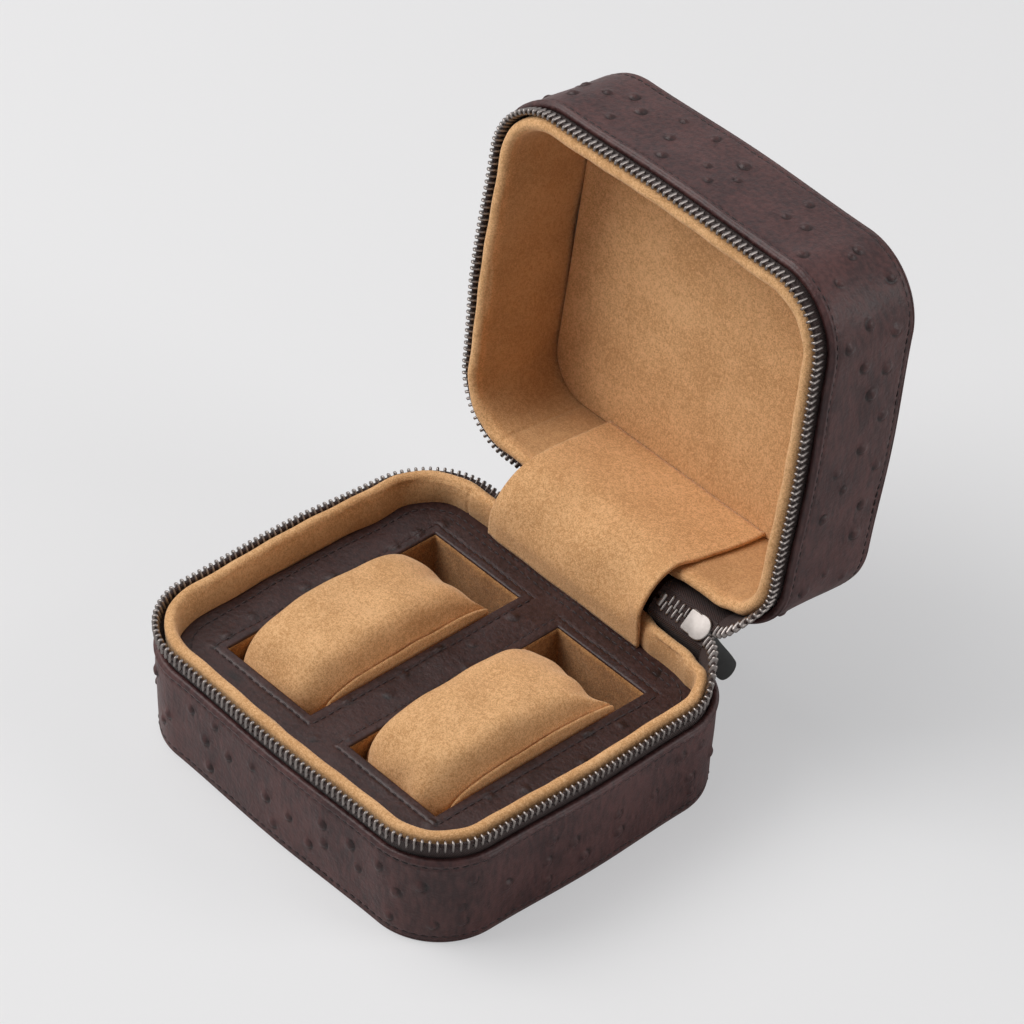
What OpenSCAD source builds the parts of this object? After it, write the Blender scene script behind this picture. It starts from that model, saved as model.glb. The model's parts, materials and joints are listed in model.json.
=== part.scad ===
// Travel case for two watches, shown open.
// The base stands on its floor face, the hinge runs along X at the back (+Y), and the front is -Y.
// Base pieces are drawn in place. Lid pieces are drawn like a second base standing on the lid's top
// face, then turned over onto the base and swung open about the hinge line.

/* [Case] */
// Width of the closed case, along the hinge
case_w = 140; // [132:1:165]
// Depth of the case, front to back
case_d = 125; // [118:1:150]
// Outside radius of the four upright corners
corner_r = 24; // [21:0.5:30]
// Height of the base, from the floor to the top of its suede rim
base_h = 40.4; // [38:0.2:50]
// Height of the lid, from its top face to its suede rim
lid_h = 39.8; // [38:0.2:50]
// Gap between the two suede rims when the case is closed
rim_gap = 1.2; // [0.6:0.1:2]
// How far the lid stands open
open_angle = 97; // [60:1:100]

/* [Walls] */
// Thickness of the outer leather
leather_t = 1.4; // [1:0.1:1.6]
// Thickness of the stiff board in walls, floor and top
board_t = 2.3; // [2.1:0.1:2.6]
// Thickness of the padded suede lining on the walls
lining_t = 4.1; // [3.6:0.1:5]
// How far the base's leather edge stands below its suede rim
base_edge_drop = 6.8; // [6.4:0.1:9]
// How far the lid's leather edge stands below its suede rim
lid_edge_drop = 3.6; // [3.5:0.1:5]
// Height of the turned-in hem along each leather edge
hem_h = 4; // [3:0.5:5]
// Thickness of the turned-in layer of the hem
hem_t = 0.7; // [0.5:0.1:0.7]

/* [Zip] */
// Depth of the zip's centre line below the outer face of the wall
track_inset = 2.6; // [2.5:0.1:2.7]
// Distance from one tooth to the next along the tape
tooth_pitch = 2.25; // [2:0.05:3]
// Width of a tooth along the tape
tooth_w = 1.35; // [0.9:0.05:1.5]
// Thickness of a tooth, across the wall
tooth_t = 1.6; // [1.2:0.1:1.6]
// Height of a tooth above the edge of the tape
tooth_h = 2.9; // [2.2:0.1:3]
// Thickness of the woven tape
tape_t = 0.6; // [0.4:0.1:0.7]
// Distance from the case's right side to the place where the teeth leave the slider
mouth_inset = 15.5; // [14:0.5:16]
// Distance from there back to the slider's centre
slider_back = 7.5; // [7:0.5:8]
// Length of the slider
slider_l = 12; // [11:0.5:12.5]
// Width of the slider, across the chain
slider_w = 8; // [7.6:0.1:8.2]
// Thickness of each of the slider's two plates
plate_t = 1.2; // [0.9:0.1:1.3]

/* [Pull] */
// Length of the metal link, from its pin to the tab
link_l = 6.5; // [6:0.5:9]
// Length of the black tab
tab_l = 22; // [16:1:26]
// Width of the black tab at its round end
tab_w = 7.4; // [6:0.2:9]
// How far the pull droops below the slider's own direction
pull_droop = 14.7; // [5:0.1:15]

/* [Insert] */
// Height of the insert's leather face above the floor
insert_z = 30.8; // [29:0.2:32]
// Thickness of the insert's leather face
insert_leather_t = 1.4; // [1:0.1:1.8]
// Size of each opening along the hinge
well_w = 38; // [34:0.5:40]
// Size of each opening from front to back
well_d = 82; // [74:1:86]
// Distance between the two openings' centres
well_pitch = 55.6; // [52:0.2:58]
// Height of each well's floor above the floor of the case
well_floor_z = 7; // [6:0.5:9]
// Thickness of the suede in the wells
well_lining_t = 1; // [0.8:0.1:1.4]

/* [Pillows] */
// Width of a watch pillow
pillow_w = 35.6; // [30:0.2:37]
// Length of a watch pillow
pillow_l = 70; // [60:1:74]
// Height of a watch pillow
pillow_h = 34.6; // [28:0.2:36]
// Gap between a pillow and the front of its well
pillow_front_gap = 0.6; // [0.5:0.1:3]
// Thickness of the suede and padding over the foam core
pillow_cover_t = 4; // [3:0.5:5]

/* [Hinge] */
// Distance from the case's left side to the hinge strips
hinge_left = 31; // [28:0.5:34]
// Distance from the hinge strips to the case's right side
hinge_right = 39; // [38.5:0.5:42]
// Distance of the hinge line behind the back wall
hinge_back = 3.7; // [3.2:0.1:4.4]
// Height of the hinge line above the middle of the closed gap
hinge_rise = 1.2; // [0.8:0.1:1.6]
// Thickness of the outer leather strip
strip_t = 1.4; // [1:0.1:1.6]
// How far the outer strip reaches down each wall
strip_reach = 16; // [10:1:22]
// Thickness of the inner suede flap
flap_t = 1.2; // [0.8:0.1:1.5]

/* [Ceiling] */
// Thickness of the padded panel inside the lid, at its edge
ceiling_t = 2.4; // [2.2:0.1:4]
// Extra height in the middle of the padded panel
ceiling_crown = 1.2; // [0.4:0.1:1.6]
// Gap between the padded panel and the wall lining
ceiling_gap = 0.6; // [0.4:0.1:1.5]
// Corner radius of the padded panel
ceiling_r = 15; // [10:0.5:15.5]

/* [Fits] */
// Clearance between pieces of different bodies
clear = 0.3; // [0.3:0.05:0.4]
// Clearance between pieces fitted side by side in one body
fit = 0.2; // [0.1:0.05:0.3]

/* [Hidden] */

$fn = 64;
eps = 0.01;
leather_color = "#4b3c3c";
insert_color = "#3c2a2a";
suede_color = "#c8925a";
board_color = "#8a7a66";
foam_color = "#d8d2c0";
tape_color = "#231919";
metal_color = "#6f6a68";
nickel_color = "#cfcac2";
tab_color = "#232321";

// Heights shared by both halves
mid_z = base_h + rim_gap / 2;
closed_h = base_h + rim_gap + lid_h;
floor_top = leather_t + board_t;
lid_mid = closed_h - mid_z;
base_edge = base_h - base_edge_drop;
lid_edge = lid_h - lid_edge_drop;

// Insets of the wall's layers from the outer face
board_in = leather_t + board_t;
lining_in = board_in + lining_t;
tape_out = track_inset - tape_t / 2;
tape_in = track_inset + tape_t / 2;

// Zip track
mouth_x = case_w / 2 - mouth_inset;
slider_x = mouth_x - slider_back;
hinge_x0 = hinge_left - case_w / 2;
hinge_x1 = case_w / 2 - hinge_right;
track_y = case_d / 2 - track_inset;
track_r = corner_r - track_inset;
corner_x = case_w / 2 - corner_r;
corner_y = case_d / 2 - corner_r;
teeth_top = mid_z - 0.1;
base_tape_top = teeth_top - tooth_h;
lid_tape_top = lid_mid - 0.1 - tooth_h;
tape_foot = 1;
stop_l = 2;
stop_half = 2.2;
teeth_end_x = hinge_x0 + 1.5;
chain_x0 = hinge_x1 + stop_l;
chain_x1 = slider_x - slider_l / 2 + 1.5;
chain_half = tooth_h + 0.1;
channel_half = tooth_t / 2 + clear;
plate_out = channel_half + plate_t;

// Hinge line
hinge_y = case_d / 2 + hinge_back;
hinge_z = mid_z + hinge_rise;

// Pocket in the linings, wide enough for the slider's inner plate to pass as the lid turns
slider_reach = norm([hinge_y - track_y + plate_out, hinge_z - mid_z + slider_w / 2]);
pocket_x0 = chain_x0 - fit;
pocket_in = slider_reach + clear - hinge_back;
pocket_half = slider_w / 2 + 0.5;

// Bail and pull. The pull droops, so its pin stands slanted in the bail, and its arms pass the bail
// and the plate with the same clearance.
bail_bar = 1;
bail_half = 0.9;
bail_reach = 3.6;
bail_post = 1.2;
pin_r = 0.45;
eye_r = 0.6;
arm_t = 0.8;
pin_drop = pin_r / cos(pull_droop) + bail_half * tan(pull_droop) + clear;
arm_in = (bail_half + clear) * cos(pull_droop) + (pin_drop + bail_bar) * sin(pull_droop);
link_half = arm_in + arm_t;
bail_h = pin_drop + eye_r * cos(pull_droop) + link_half * sin(pull_droop) + clear;
pin_out = plate_out + bail_h - pin_drop;
arm_l = norm([bail_reach, pin_drop + bail_bar + bail_half * sin(pull_droop)]) + clear;

// Insert and wells
insert_in = lining_in + fit;
well_y = 0;
pillow_z = well_floor_z + clear;
pillow_y = well_y - well_d / 2 + pillow_front_gap + pillow_l / 2;

// Shapes that both halves use

// Outline of the case, set in from the outer face.
module outline(inset) {
    w = case_w - 2 * inset;
    d = case_d - 2 * inset;
    r = corner_r - inset;
    square([w - 2 * r, d], center = true);
    square([w, d - 2 * r], center = true);
    for (sx = [-1, 1], sy = [-1, 1])
        translate([sx * (w / 2 - r), sy * (d / 2 - r)]) circle(r);
}

// Flat sheet that fills the outline.
module sheet(inset, z0, z1) {
    translate([0, 0, z0]) linear_extrude(z1 - z0) outline(inset);
}

// Upright wall between two insets.
module wall(inset_out, inset_in, z0, z1) {
    translate([0, 0, z0])
        linear_extrude(z1 - z0)
            difference() {
                outline(inset_out);
                outline(inset_in);
            }
}

// Carries a flat profile round the case. The profile's X is the distance from a corner's centre.
module swept() {
    for (k = [0 : 3]) {
        odd = k % 2 == 1;
        cx = odd ? corner_y : corner_x;
        cy = odd ? corner_x : corner_y;
        rotate(90 * k) {
            translate([cx, cy, 0]) rotate_extrude(angle = 90) children();
            translate([cx, cy, 0]) rotate([90, 0, 0]) linear_extrude(2 * cy) children();
        }
    }
}

// Space for the slider beside the closed chain, cut from a wall lining.
module slider_pocket(middle) {
    translate([pocket_x0, case_d / 2 - pocket_in, middle - pocket_half])
        cube([mouth_x - pocket_x0, pocket_in, 2 * pocket_half]);
}

// Wall lining of padded suede with a round rim.
module wall_lining(rim, middle) {
    r = lining_t / 2;
    difference() {
        swept() {
            translate([corner_r - lining_in, floor_top]) square([lining_t, rim - r - floor_top]);
            translate([corner_r - board_in - r, rim - r]) circle(r);
        }
        slider_pocket(middle);
    }
}

// Outer leather wall, with its top edge turned in.
module wall_leather(edge) {
    wall(0, leather_t, leather_t, edge);
    wall(leather_t - eps, leather_t + hem_t, edge - hem_h, edge);
}

// Stiff board behind the leather, up to the foot of the zip tape.
module wall_board(edge) {
    wall(leather_t, board_in, floor_top, edge - hem_h - tape_foot);
}

// Keeps what lies outside the stretch of back wall that the zip leaves free.
module without_back(x0, x1) {
    difference() {
        children();
        translate([x0, case_d / 2 - corner_r, -1]) cube([x1 - x0, corner_r + 1, closed_h]);
    }
}

module zip_tape(edge, top) {
    without_back(teeth_end_x - 5, mouth_x)
        wall(tape_out, tape_in, edge - hem_h - tape_foot, top);
}

// Place and heading on the track, by the length travelled clockwise from the middle of the back.
side_x = 2 * corner_x;
side_y = 2 * corner_y;
arc_l = track_r * PI / 2;
track_l = 2 * side_x + 2 * side_y + 4 * arc_l;

function on_arc(cx, cy, start, s) =
    let (a = start - s / track_r * 180 / PI)
    [cx + track_r * cos(a), cy + track_r * sin(a), a - 90];

function track(s) =
    s < side_x / 2 ? [s, track_y, 0]
    : s < side_x / 2 + arc_l ? on_arc(corner_x, corner_y, 90, s - side_x / 2)
    : s < side_x / 2 + arc_l + side_y
        ? [corner_x + track_r, corner_y - (s - side_x / 2 - arc_l), -90]
    : s < side_x / 2 + 2 * arc_l + side_y
        ? on_arc(corner_x, -corner_y, 0, s - side_x / 2 - arc_l - side_y)
    : s < 1.5 * side_x + 2 * arc_l + side_y
        ? [corner_x - (s - side_x / 2 - 2 * arc_l - side_y), -corner_y - track_r, 180]
    : s < 1.5 * side_x + 3 * arc_l + side_y
        ? on_arc(-corner_x, -corner_y, -90, s - 1.5 * side_x - 2 * arc_l - side_y)
    : s < 1.5 * side_x + 3 * arc_l + 2 * side_y
        ? [-corner_x - track_r, -corner_y + (s - 1.5 * side_x - 3 * arc_l - side_y), 90]
    : s < 1.5 * side_x + 4 * arc_l + 2 * side_y
        ? on_arc(-corner_x, corner_y, 180, s - 1.5 * side_x - 3 * arc_l - 2 * side_y)
    : [s - track_l, track_y, 0];

mouth_s = side_x / 2 + track_r * asin((mouth_x - corner_x) / track_r) * PI / 180;
teeth_count = floor((track_l + teeth_end_x - mouth_s) / tooth_pitch);

// One tooth: a foot on the tape, a narrower waist and a head.
module tooth() {
    w = tooth_w / 2;
    rotate([90, 0, 0])
        linear_extrude(tooth_t, center = true)
            polygon([
                [-w, 0], [w, 0], [w * 0.7, tooth_h * 0.45], [w, tooth_h * 0.7],
                [w * 0.8, tooth_h], [-w * 0.8, tooth_h], [-w, tooth_h * 0.7], [-w * 0.7, tooth_h * 0.45]
            ]);
}

module zip_teeth(tape_top) {
    for (i = [0 : teeth_count - 1]) {
        p = track(mouth_s + (i + 0.5) * tooth_pitch);
        translate([p[0], p[1], tape_top]) rotate(p[2]) tooth();
    }
}

// Metal stop on the tape's edge past the last tooth.
module top_stop(tape_top) {
    translate([teeth_end_x, track_y - tooth_t / 2, tape_top]) cube([stop_l, tooth_t, tooth_h - clear]);
}

// Turns a piece about the hinge line, opening the case by the angle.
module swing(angle) {
    translate([0, hinge_y, hinge_z])
        rotate([-angle, 0, 0])
            translate([0, -hinge_y, -hinge_z])
                children();
}

// Puts a lid piece, drawn standing on the lid's top face, where the open lid is.
module on_lid() {
    swing(open_angle) translate([0, 0, closed_h]) mirror([0, 0, 1]) children();
}

// The closed end of the zip halves the lid's angle.
module on_zip_end() {
    swing(open_angle / 2) children();
}

// Base

module base_wall_leather() {
    color(leather_color) wall_leather(base_edge);
}

module base_floor_leather() {
    color(leather_color) sheet(0, 0, leather_t);
}

module base_wall_board() {
    color(board_color) wall_board(base_edge);
}

module base_floor_board() {
    color(board_color) sheet(leather_t, leather_t, floor_top);
}

module base_wall_lining() {
    color(suede_color) wall_lining(base_h, mid_z);
}

module base_zip_tape() {
    color(tape_color) zip_tape(base_edge, base_tape_top);
}

module base_zip_teeth() {
    color(metal_color) zip_teeth(base_tape_top);
}

module base_top_stop() {
    color(metal_color) top_stop(base_tape_top);
}

// Insert with its two wells

module well_hole(grow, z0, z1) {
    for (side = [-1, 1]) one_well(side, grow, z0, z1);
}

module one_well(side, grow, z0, z1) {
    translate([side * well_pitch / 2 - well_w / 2 - grow, well_y - well_d / 2 - grow, z0])
        cube([well_w + 2 * grow, well_d + 2 * grow, z1 - z0]);
}

module insert_block() {
    color(foam_color)
        difference() {
            sheet(insert_in, floor_top, insert_z - insert_leather_t);
            well_hole(well_lining_t, well_floor_z - well_lining_t, insert_z);
        }
}

module insert_leather() {
    color(insert_color)
        difference() {
            sheet(insert_in, insert_z - insert_leather_t, insert_z);
            well_hole(0, 0, insert_z + 1);
        }
}

module well_lining(side) {
    color(suede_color)
        difference() {
            one_well(side, well_lining_t, well_floor_z - well_lining_t, insert_z - insert_leather_t);
            one_well(side, 0, well_floor_z, insert_z + 1);
        }
}

// Watch pillows

// Points on a quarter round, from one angle to the next, about a centre.
function quarter(cy, cz, r, start, steps) =
    [for (i = [0 : steps]) [cy + r * cos(start + 90 * i / steps), cz + r * sin(start + 90 * i / steps)]];

// Side view of a pillow, drawn in by an amount: round front, tighter back, crowned top.
front_r = 17;
back_r = 8;
foot_r = 6;
crown = 1.4;
foot_share = 0.4;
side_steps = 5;

function side_view(draw) =
    let (
        y0 = -pillow_l / 2 + draw, y1 = pillow_l / 2 - draw,
        z0 = draw * foot_share, z1 = pillow_h - crown - draw,
        flat = [
            each quarter(y1 - foot_r, z0 + foot_r, foot_r, -90, side_steps),
            each quarter(y1 - back_r, z1 - back_r, back_r, 0, side_steps),
            for (i = [1 : 5]) [y1 - back_r - (y1 - y0 - back_r - front_r) * i / 6, z1],
            each quarter(y0 + front_r, z1 - front_r, front_r, 90, side_steps),
            each quarter(y0 + foot_r, z0 + foot_r, foot_r, 180, side_steps)
        ]
    )
    [for (p = flat)
        [p[0], p[1] + crown * (1 - pow(2 * p[0] / pillow_l, 2)) * max(0, p[1] / z1 - 0.5) * 2]];

// Across the pillow the side view is drawn in towards both flat ends, so the faces crown.
pillow_rings = 14;
edge_draw = 6;

function across(i) = let (u = -cos(180 * i / (pillow_rings - 1))) u;
function drawn(u) = edge_draw * (1 - sqrt(1 - pow(abs(u), 3)));

module skin(rings) {
    n = len(rings[0]);
    m = len(rings);
    points = [for (ring = rings) each ring];
    ends = [[for (i = [n - 1 : -1 : 0]) i], [for (i = [0 : n - 1]) (m - 1) * n + i]];
    sides = [for (k = [0 : m - 2], i = [0 : n - 1], half = [0, 1])
        let (a = k * n + i, b = k * n + (i + 1) % n, c = a + n, d = b + n)
        half == 0 ? [a, b, d] : [a, d, c]];
    polyhedron(points, concat(ends, sides), convexity = 4);
}

module pillow_form() {
    skin([for (i = [0 : pillow_rings - 1])
        let (u = across(i), x = u * pillow_w / 2)
        [for (p = side_view(drawn(u))) [x, p[0], p[1]]]]);
}

module core_form() {
    w = pillow_w - 2 * pillow_cover_t;
    l = pillow_l - 2 * pillow_cover_t;
    h = pillow_h - 2 * pillow_cover_t;
    r = 10;
    translate([-w / 2, 0, pillow_cover_t])
        rotate([90, 0, 90])
            linear_extrude(w) {
                translate([-l / 2, 0]) square([l, h - r]);
                translate([-l / 2 + r, 0]) square([l - 2 * r, h]);
                for (s = [-1, 1]) translate([s * (l / 2 - r), h - r]) circle(r, $fn = 32);
            }
}

module on_well(side) {
    translate([side * well_pitch / 2, pillow_y, pillow_z]) children();
}

module pillow_cover(side) {
    color(suede_color)
        on_well(side)
            difference() {
                pillow_form();
                core_form();
            }
}

module pillow_core(side) {
    color(foam_color) on_well(side) core_form();
}

// Lid

module lid_wall_leather() {
    color(leather_color) on_lid() wall_leather(lid_edge);
}

module lid_top_leather() {
    color(leather_color) on_lid() sheet(0, 0, leather_t);
}

module lid_wall_board() {
    color(board_color) on_lid() wall_board(lid_edge);
}

module lid_top_board() {
    color(board_color) on_lid() sheet(leather_t, leather_t, floor_top);
}

module lid_wall_lining() {
    color(suede_color) on_lid() wall_lining(lid_h, lid_mid);
}

module lid_zip_tape() {
    color(tape_color) on_lid() zip_tape(lid_edge, lid_tape_top);
}

module lid_zip_teeth() {
    color(metal_color) on_lid() zip_teeth(lid_tape_top);
}

module lid_top_stop() {
    color(metal_color) on_lid() top_stop(lid_tape_top);
}

// Ceiling panel: a thin board, and a crowned pad over it
ceiling_board_t = 1.2;
ceiling_w = case_w - 2 * (lining_in + ceiling_gap);
ceiling_d = case_d - 2 * (lining_in + ceiling_gap);
ceiling_steps = 6;

function ceiling_ring(k, z) =
    [for (q = [0 : 3], i = [0 : ceiling_steps])
        let (
            a = 90 * q + 90 * i / ceiling_steps,
            sx = q == 0 || q == 3 ? 1 : -1,
            sy = q < 2 ? 1 : -1
        )
        [
            k * (sx * (ceiling_w / 2 - ceiling_r) + ceiling_r * cos(a)),
            k * (sy * (ceiling_d / 2 - ceiling_r) + ceiling_r * sin(a)),
            z
        ]];

module ceiling_board() {
    color(board_color)
        on_lid()
            translate([0, 0, floor_top])
                linear_extrude(ceiling_board_t)
                    polygon([for (p = ceiling_ring(0.97, 0)) [p[0], p[1]]]);
}

module ceiling_pad() {
    foot = floor_top + ceiling_board_t;
    rise = ceiling_t - ceiling_board_t;
    rings = [
        ceiling_ring(0.97, foot), ceiling_ring(1, foot + rise * 0.3), ceiling_ring(1, foot + rise * 0.6),
        for (k = [0.98, 0.94, 0.8, 0.6, 0.35, 0.1])
            ceiling_ring(k, foot + rise + ceiling_crown * (1 - k * k) - rise * 0.25 * pow(k, 12))
    ];
    color(suede_color) on_lid() skin(rings);
}

// Hinge strips, drawn as they lie with the lid open

// Where a point given by its inset from the lid's back face and its depth below the lid's rim lies.
function turned(y, z, angle) =
    let (dy = y - hinge_y, dz = z - hinge_z)
    [hinge_y + dy * cos(angle) + dz * sin(angle), hinge_z - dy * sin(angle) + dz * cos(angle)];
function lid_point(inset, depth) = turned(case_d / 2 - inset, base_h + rim_gap + depth, open_angle);

function bezier(a, b, c, d, t) =
    pow(1 - t, 3) * a + 3 * t * pow(1 - t, 2) * b + 3 * t * t * (1 - t) * c + pow(t, 3) * d;

function unit(v) = v / norm(v);
function normal_at(path, i) =
    let (v = unit(path[min(i + 1, len(path) - 1)] - path[max(i - 1, 0)])) [-v[1], v[0]];

// Band of even thickness along a path in the Y-Z plane, from x0 to x1.
module band(path, t, x0, x1) {
    n = len(path) - 1;
    left = [for (i = [0 : n]) path[i] + normal_at(path, i) * t / 2];
    right = [for (i = [n : -1 : 0]) path[i] - normal_at(path, i) * t / 2];
    translate([x0, 0, 0]) rotate([90, 0, 90]) linear_extrude(x1 - x0) polygon(concat(left, right));
}

bend_steps = 12;

module hinge_leather() {
    out = case_d / 2 + fit + strip_t / 2;
    a = [out, base_edge - 1];
    lid_in = -fit - strip_t / 2;
    d = lid_point(lid_in, lid_edge_drop + 1);
    away = unit(lid_point(lid_in, 10) - lid_point(lid_in, 0));
    path = [
        [out, base_edge - strip_reach],
        for (i = [0 : bend_steps]) bezier(a, a + [0, 8], d - away * 4, d, i / bend_steps),
        lid_point(lid_in, lid_edge_drop + strip_reach)
    ];
    color(leather_color) band(path, strip_t, hinge_x0 - 2, hinge_x1 + 2);
}

module hinge_flap() {
    inset = lining_in + fit + flap_t / 2;
    y = case_d / 2 - inset;
    a = [y, base_h - 2];
    d = lid_point(inset, 3);
    away = unit(lid_point(inset, 10) - lid_point(inset, 0));
    path = [
        [y, insert_z + clear],
        for (i = [0 : bend_steps]) bezier(a, a + [0, 6], d - away * 8, d, i / bend_steps),
        lid_point(inset, lid_h - floor_top - ceiling_t - 1)
    ];
    color(suede_color) band(path, flap_t, hinge_x0, hinge_x1);
}

// Tape between the slot in each rim and the closed chain
module zip_web() {
    web_t = 0.5;
    edge_gap = 0.1;
    slot_gap = 0.2;
    bend_depth = 1.5;
    low_foot = [track_y, base_edge + clear];
    low_bend = [track_y, base_h - bend_depth];
    low_slot = turned(track_y, mid_z - slider_w / 2 - slot_gap, open_angle / 2);
    low_edge = turned(track_y, mid_z - chain_half - edge_gap, open_angle / 2);
    high_edge = turned(track_y, mid_z + chain_half + edge_gap, open_angle / 2);
    high_slot = turned(track_y, mid_z + slider_w / 2 + slot_gap, open_angle / 2);
    high_bend = lid_point(track_inset, bend_depth);
    high_foot = lid_point(track_inset, lid_edge_drop - clear);
    color(tape_color) {
        band([low_foot, low_bend, low_slot, low_edge], web_t, chain_x0, mouth_x);
        band([high_edge, high_slot, high_bend, high_foot], web_t, chain_x0, mouth_x);
    }
}

// Zip end, slider and pull, drawn on the closed case

module closed_chain() {
    count = floor((chain_x1 - chain_x0) / tooth_pitch * 2);
    step = (chain_x1 - chain_x0) / count;
    mesh_depth = 1;
    color(metal_color)
        on_zip_end()
            for (i = [0 : count - 1])
                translate([
                    chain_x0 + i * step,
                    track_y - tooth_t / 2,
                    mid_z - (i % 2 == 0 ? chain_half : mesh_depth)
                ])
                    cube([step, tooth_t, chain_half + mesh_depth]);
}

module bottom_stop() {
    color(metal_color)
        on_zip_end()
            translate([hinge_x1, track_y - tooth_t / 2, mid_z - stop_half])
                cube([stop_l, tooth_t, 2 * stop_half]);
}

// Moves a slider piece from the origin to its place on the chain: Y points out, Z across the chain.
module on_slider() {
    on_zip_end() translate([slider_x, track_y, mid_z]) children();
}

// Outline of a slider plate: narrow at the chain, wide and round at the mouth.
module plate_outline() {
    l = slider_l / 2;
    w = slider_w / 2;
    polygon([
        [-l, -w * 0.72], [-l * 0.2, -w], [l * 0.45, -w], [l * 0.8, -w * 0.75], [l, -w * 0.35],
        [l, w * 0.35], [l * 0.8, w * 0.75], [l * 0.45, w], [-l * 0.2, w], [-l, w * 0.72]
    ]);
}

module slider_plate(y0) {
    translate([0, y0 + plate_t, 0]) rotate([90, 0, 0]) linear_extrude(plate_t) plate_outline();
}

module slider_body() {
    l = slider_l / 2;
    flange_w = slider_w / 2 - chain_half - clear / 2;
    slot = tape_t / 2 + fit;
    wedge_w = 1.1;
    color(nickel_color)
        on_slider() {
            slider_plate(channel_half);
            slider_plate(-plate_out);
            for (outer = [false, true], high = [false, true])
                translate([
                    -l * 0.2,
                    outer ? slot : -channel_half - eps,
                    high ? slider_w / 2 - flange_w : -slider_w / 2
                ])
                    cube([l * 0.65, channel_half - slot + eps, flange_w]);
            rotate([90, 0, 0])
                linear_extrude(2 * channel_half + 2 * eps, center = true)
                    polygon([[l * 0.35, 0], [l * 0.62, wedge_w], [l * 0.9, 0], [l * 0.62, -wedge_w]]);
        }
}

module slider_bail() {
    top = plate_out + bail_h;
    color(nickel_color)
        on_slider() {
            translate([-bail_reach, top, -bail_half]) cube([2 * bail_reach, bail_bar, 2 * bail_half]);
            for (x = [-bail_reach, bail_reach - bail_post])
                translate([x, plate_out, -bail_half]) cube([bail_post, bail_h + eps, 2 * bail_half]);
        }
}

// Moves a pull piece from the origin to the slider: Y points along the pull, Z along its pin.
module on_pull() {
    on_slider() translate([0, pin_out, 0]) rotate([-pull_droop, 0, 0]) children();
}

module pull_link() {
    color(nickel_color)
        on_pull() {
            cylinder(r = pin_r, h = 2 * link_half, center = true, $fn = 32);
            for (z = [arm_in, -link_half]) {
                translate([0, 0, z]) cylinder(r = eye_r, h = arm_t, $fn = 32);
                translate([-eye_r, 0, z]) cube([2 * eye_r, arm_l + eps, arm_t]);
            }
            translate([-eye_r, arm_l, -link_half]) cube([2 * eye_r, link_l - arm_l, 2 * link_half]);
        }
}

module pull_tab() {
    tab_t = 1.8;
    r = tab_w / 2;
    end = link_l + tab_l - r;
    color(tab_color)
        on_pull()
            rotate([0, -90, 0])
                linear_extrude(tab_t, center = true) {
                    polygon([[-link_half, link_l], [link_half, link_l], [r, end], [-r, end]]);
                    translate([0, end]) circle(r);
                }
}

base_wall_leather();
base_floor_leather();
base_wall_board();
base_floor_board();
base_wall_lining();
base_zip_tape();
base_zip_teeth();
base_top_stop();
insert_block();
insert_leather();
well_lining(-1);  // well_lining_left
well_lining(1);  // well_lining_right
hinge_leather();
hinge_flap();
zip_web();
lid_wall_leather();
lid_top_leather();
lid_wall_board();
lid_top_board();
lid_wall_lining();
lid_zip_tape();
lid_zip_teeth();
lid_top_stop();
ceiling_board();
ceiling_pad();
closed_chain();
bottom_stop();
slider_body();
slider_bail();
pull_link();
pull_tab();
pillow_cover(-1);  // pillow_left_cover
pillow_core(-1);  // pillow_left_core
pillow_cover(1);  // pillow_right_cover
pillow_core(1);  // pillow_right_core
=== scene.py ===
"""Looks of a zip-up travel case for two watches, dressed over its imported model.

Lengths are millimetres in the case's own frame, and meshes are written in metres. The base is drawn
where it stands. The lid is drawn like a second base standing on its top face, then turned over and
opened about the hinge line.
"""
import json
import logging
import math
from dataclasses import dataclass, field
from enum import Enum
from typing import Sequence

import bmesh
import bpy
import numpy as np
from mathutils import Matrix, Vector


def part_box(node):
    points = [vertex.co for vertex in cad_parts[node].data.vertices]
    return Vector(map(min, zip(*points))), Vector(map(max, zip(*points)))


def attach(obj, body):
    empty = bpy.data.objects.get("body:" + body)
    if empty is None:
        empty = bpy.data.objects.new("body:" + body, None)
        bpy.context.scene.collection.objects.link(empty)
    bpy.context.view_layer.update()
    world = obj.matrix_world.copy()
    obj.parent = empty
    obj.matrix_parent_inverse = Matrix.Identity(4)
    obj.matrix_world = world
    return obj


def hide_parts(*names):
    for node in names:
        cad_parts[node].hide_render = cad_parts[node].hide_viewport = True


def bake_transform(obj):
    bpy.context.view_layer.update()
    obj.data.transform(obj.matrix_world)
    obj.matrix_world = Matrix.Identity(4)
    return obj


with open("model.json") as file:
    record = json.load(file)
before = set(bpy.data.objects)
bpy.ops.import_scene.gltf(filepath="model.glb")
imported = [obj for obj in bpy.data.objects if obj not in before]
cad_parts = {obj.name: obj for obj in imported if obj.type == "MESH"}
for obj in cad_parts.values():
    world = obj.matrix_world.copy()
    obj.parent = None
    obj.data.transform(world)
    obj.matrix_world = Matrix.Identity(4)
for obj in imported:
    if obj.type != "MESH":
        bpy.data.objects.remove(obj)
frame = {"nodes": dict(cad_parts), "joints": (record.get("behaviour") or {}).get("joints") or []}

MM = 0.001
log = logging.getLogger("watch_case")

Array = np.ndarray
Triple = tuple[Array, Array, Array]
Piece = bpy.types.Object
Socket = bpy.types.NodeSocket


class Half(Enum):
    """The two halves of the case."""

    BASE = "base"
    LID = "lid"

    @property
    def body(self) -> str:
        """Name of the body that the half's pieces ride on."""
        return "root" if self is Half.BASE else "lid"

    @property
    def turned(self) -> float:
        """Share of the lid's opening that the half is turned by."""
        return 0.0 if self is Half.BASE else 1.0


class Side(Enum):
    """The two wells and pillows, by the sign of their place along the hinge."""

    LEFT = -1
    RIGHT = 1


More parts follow.
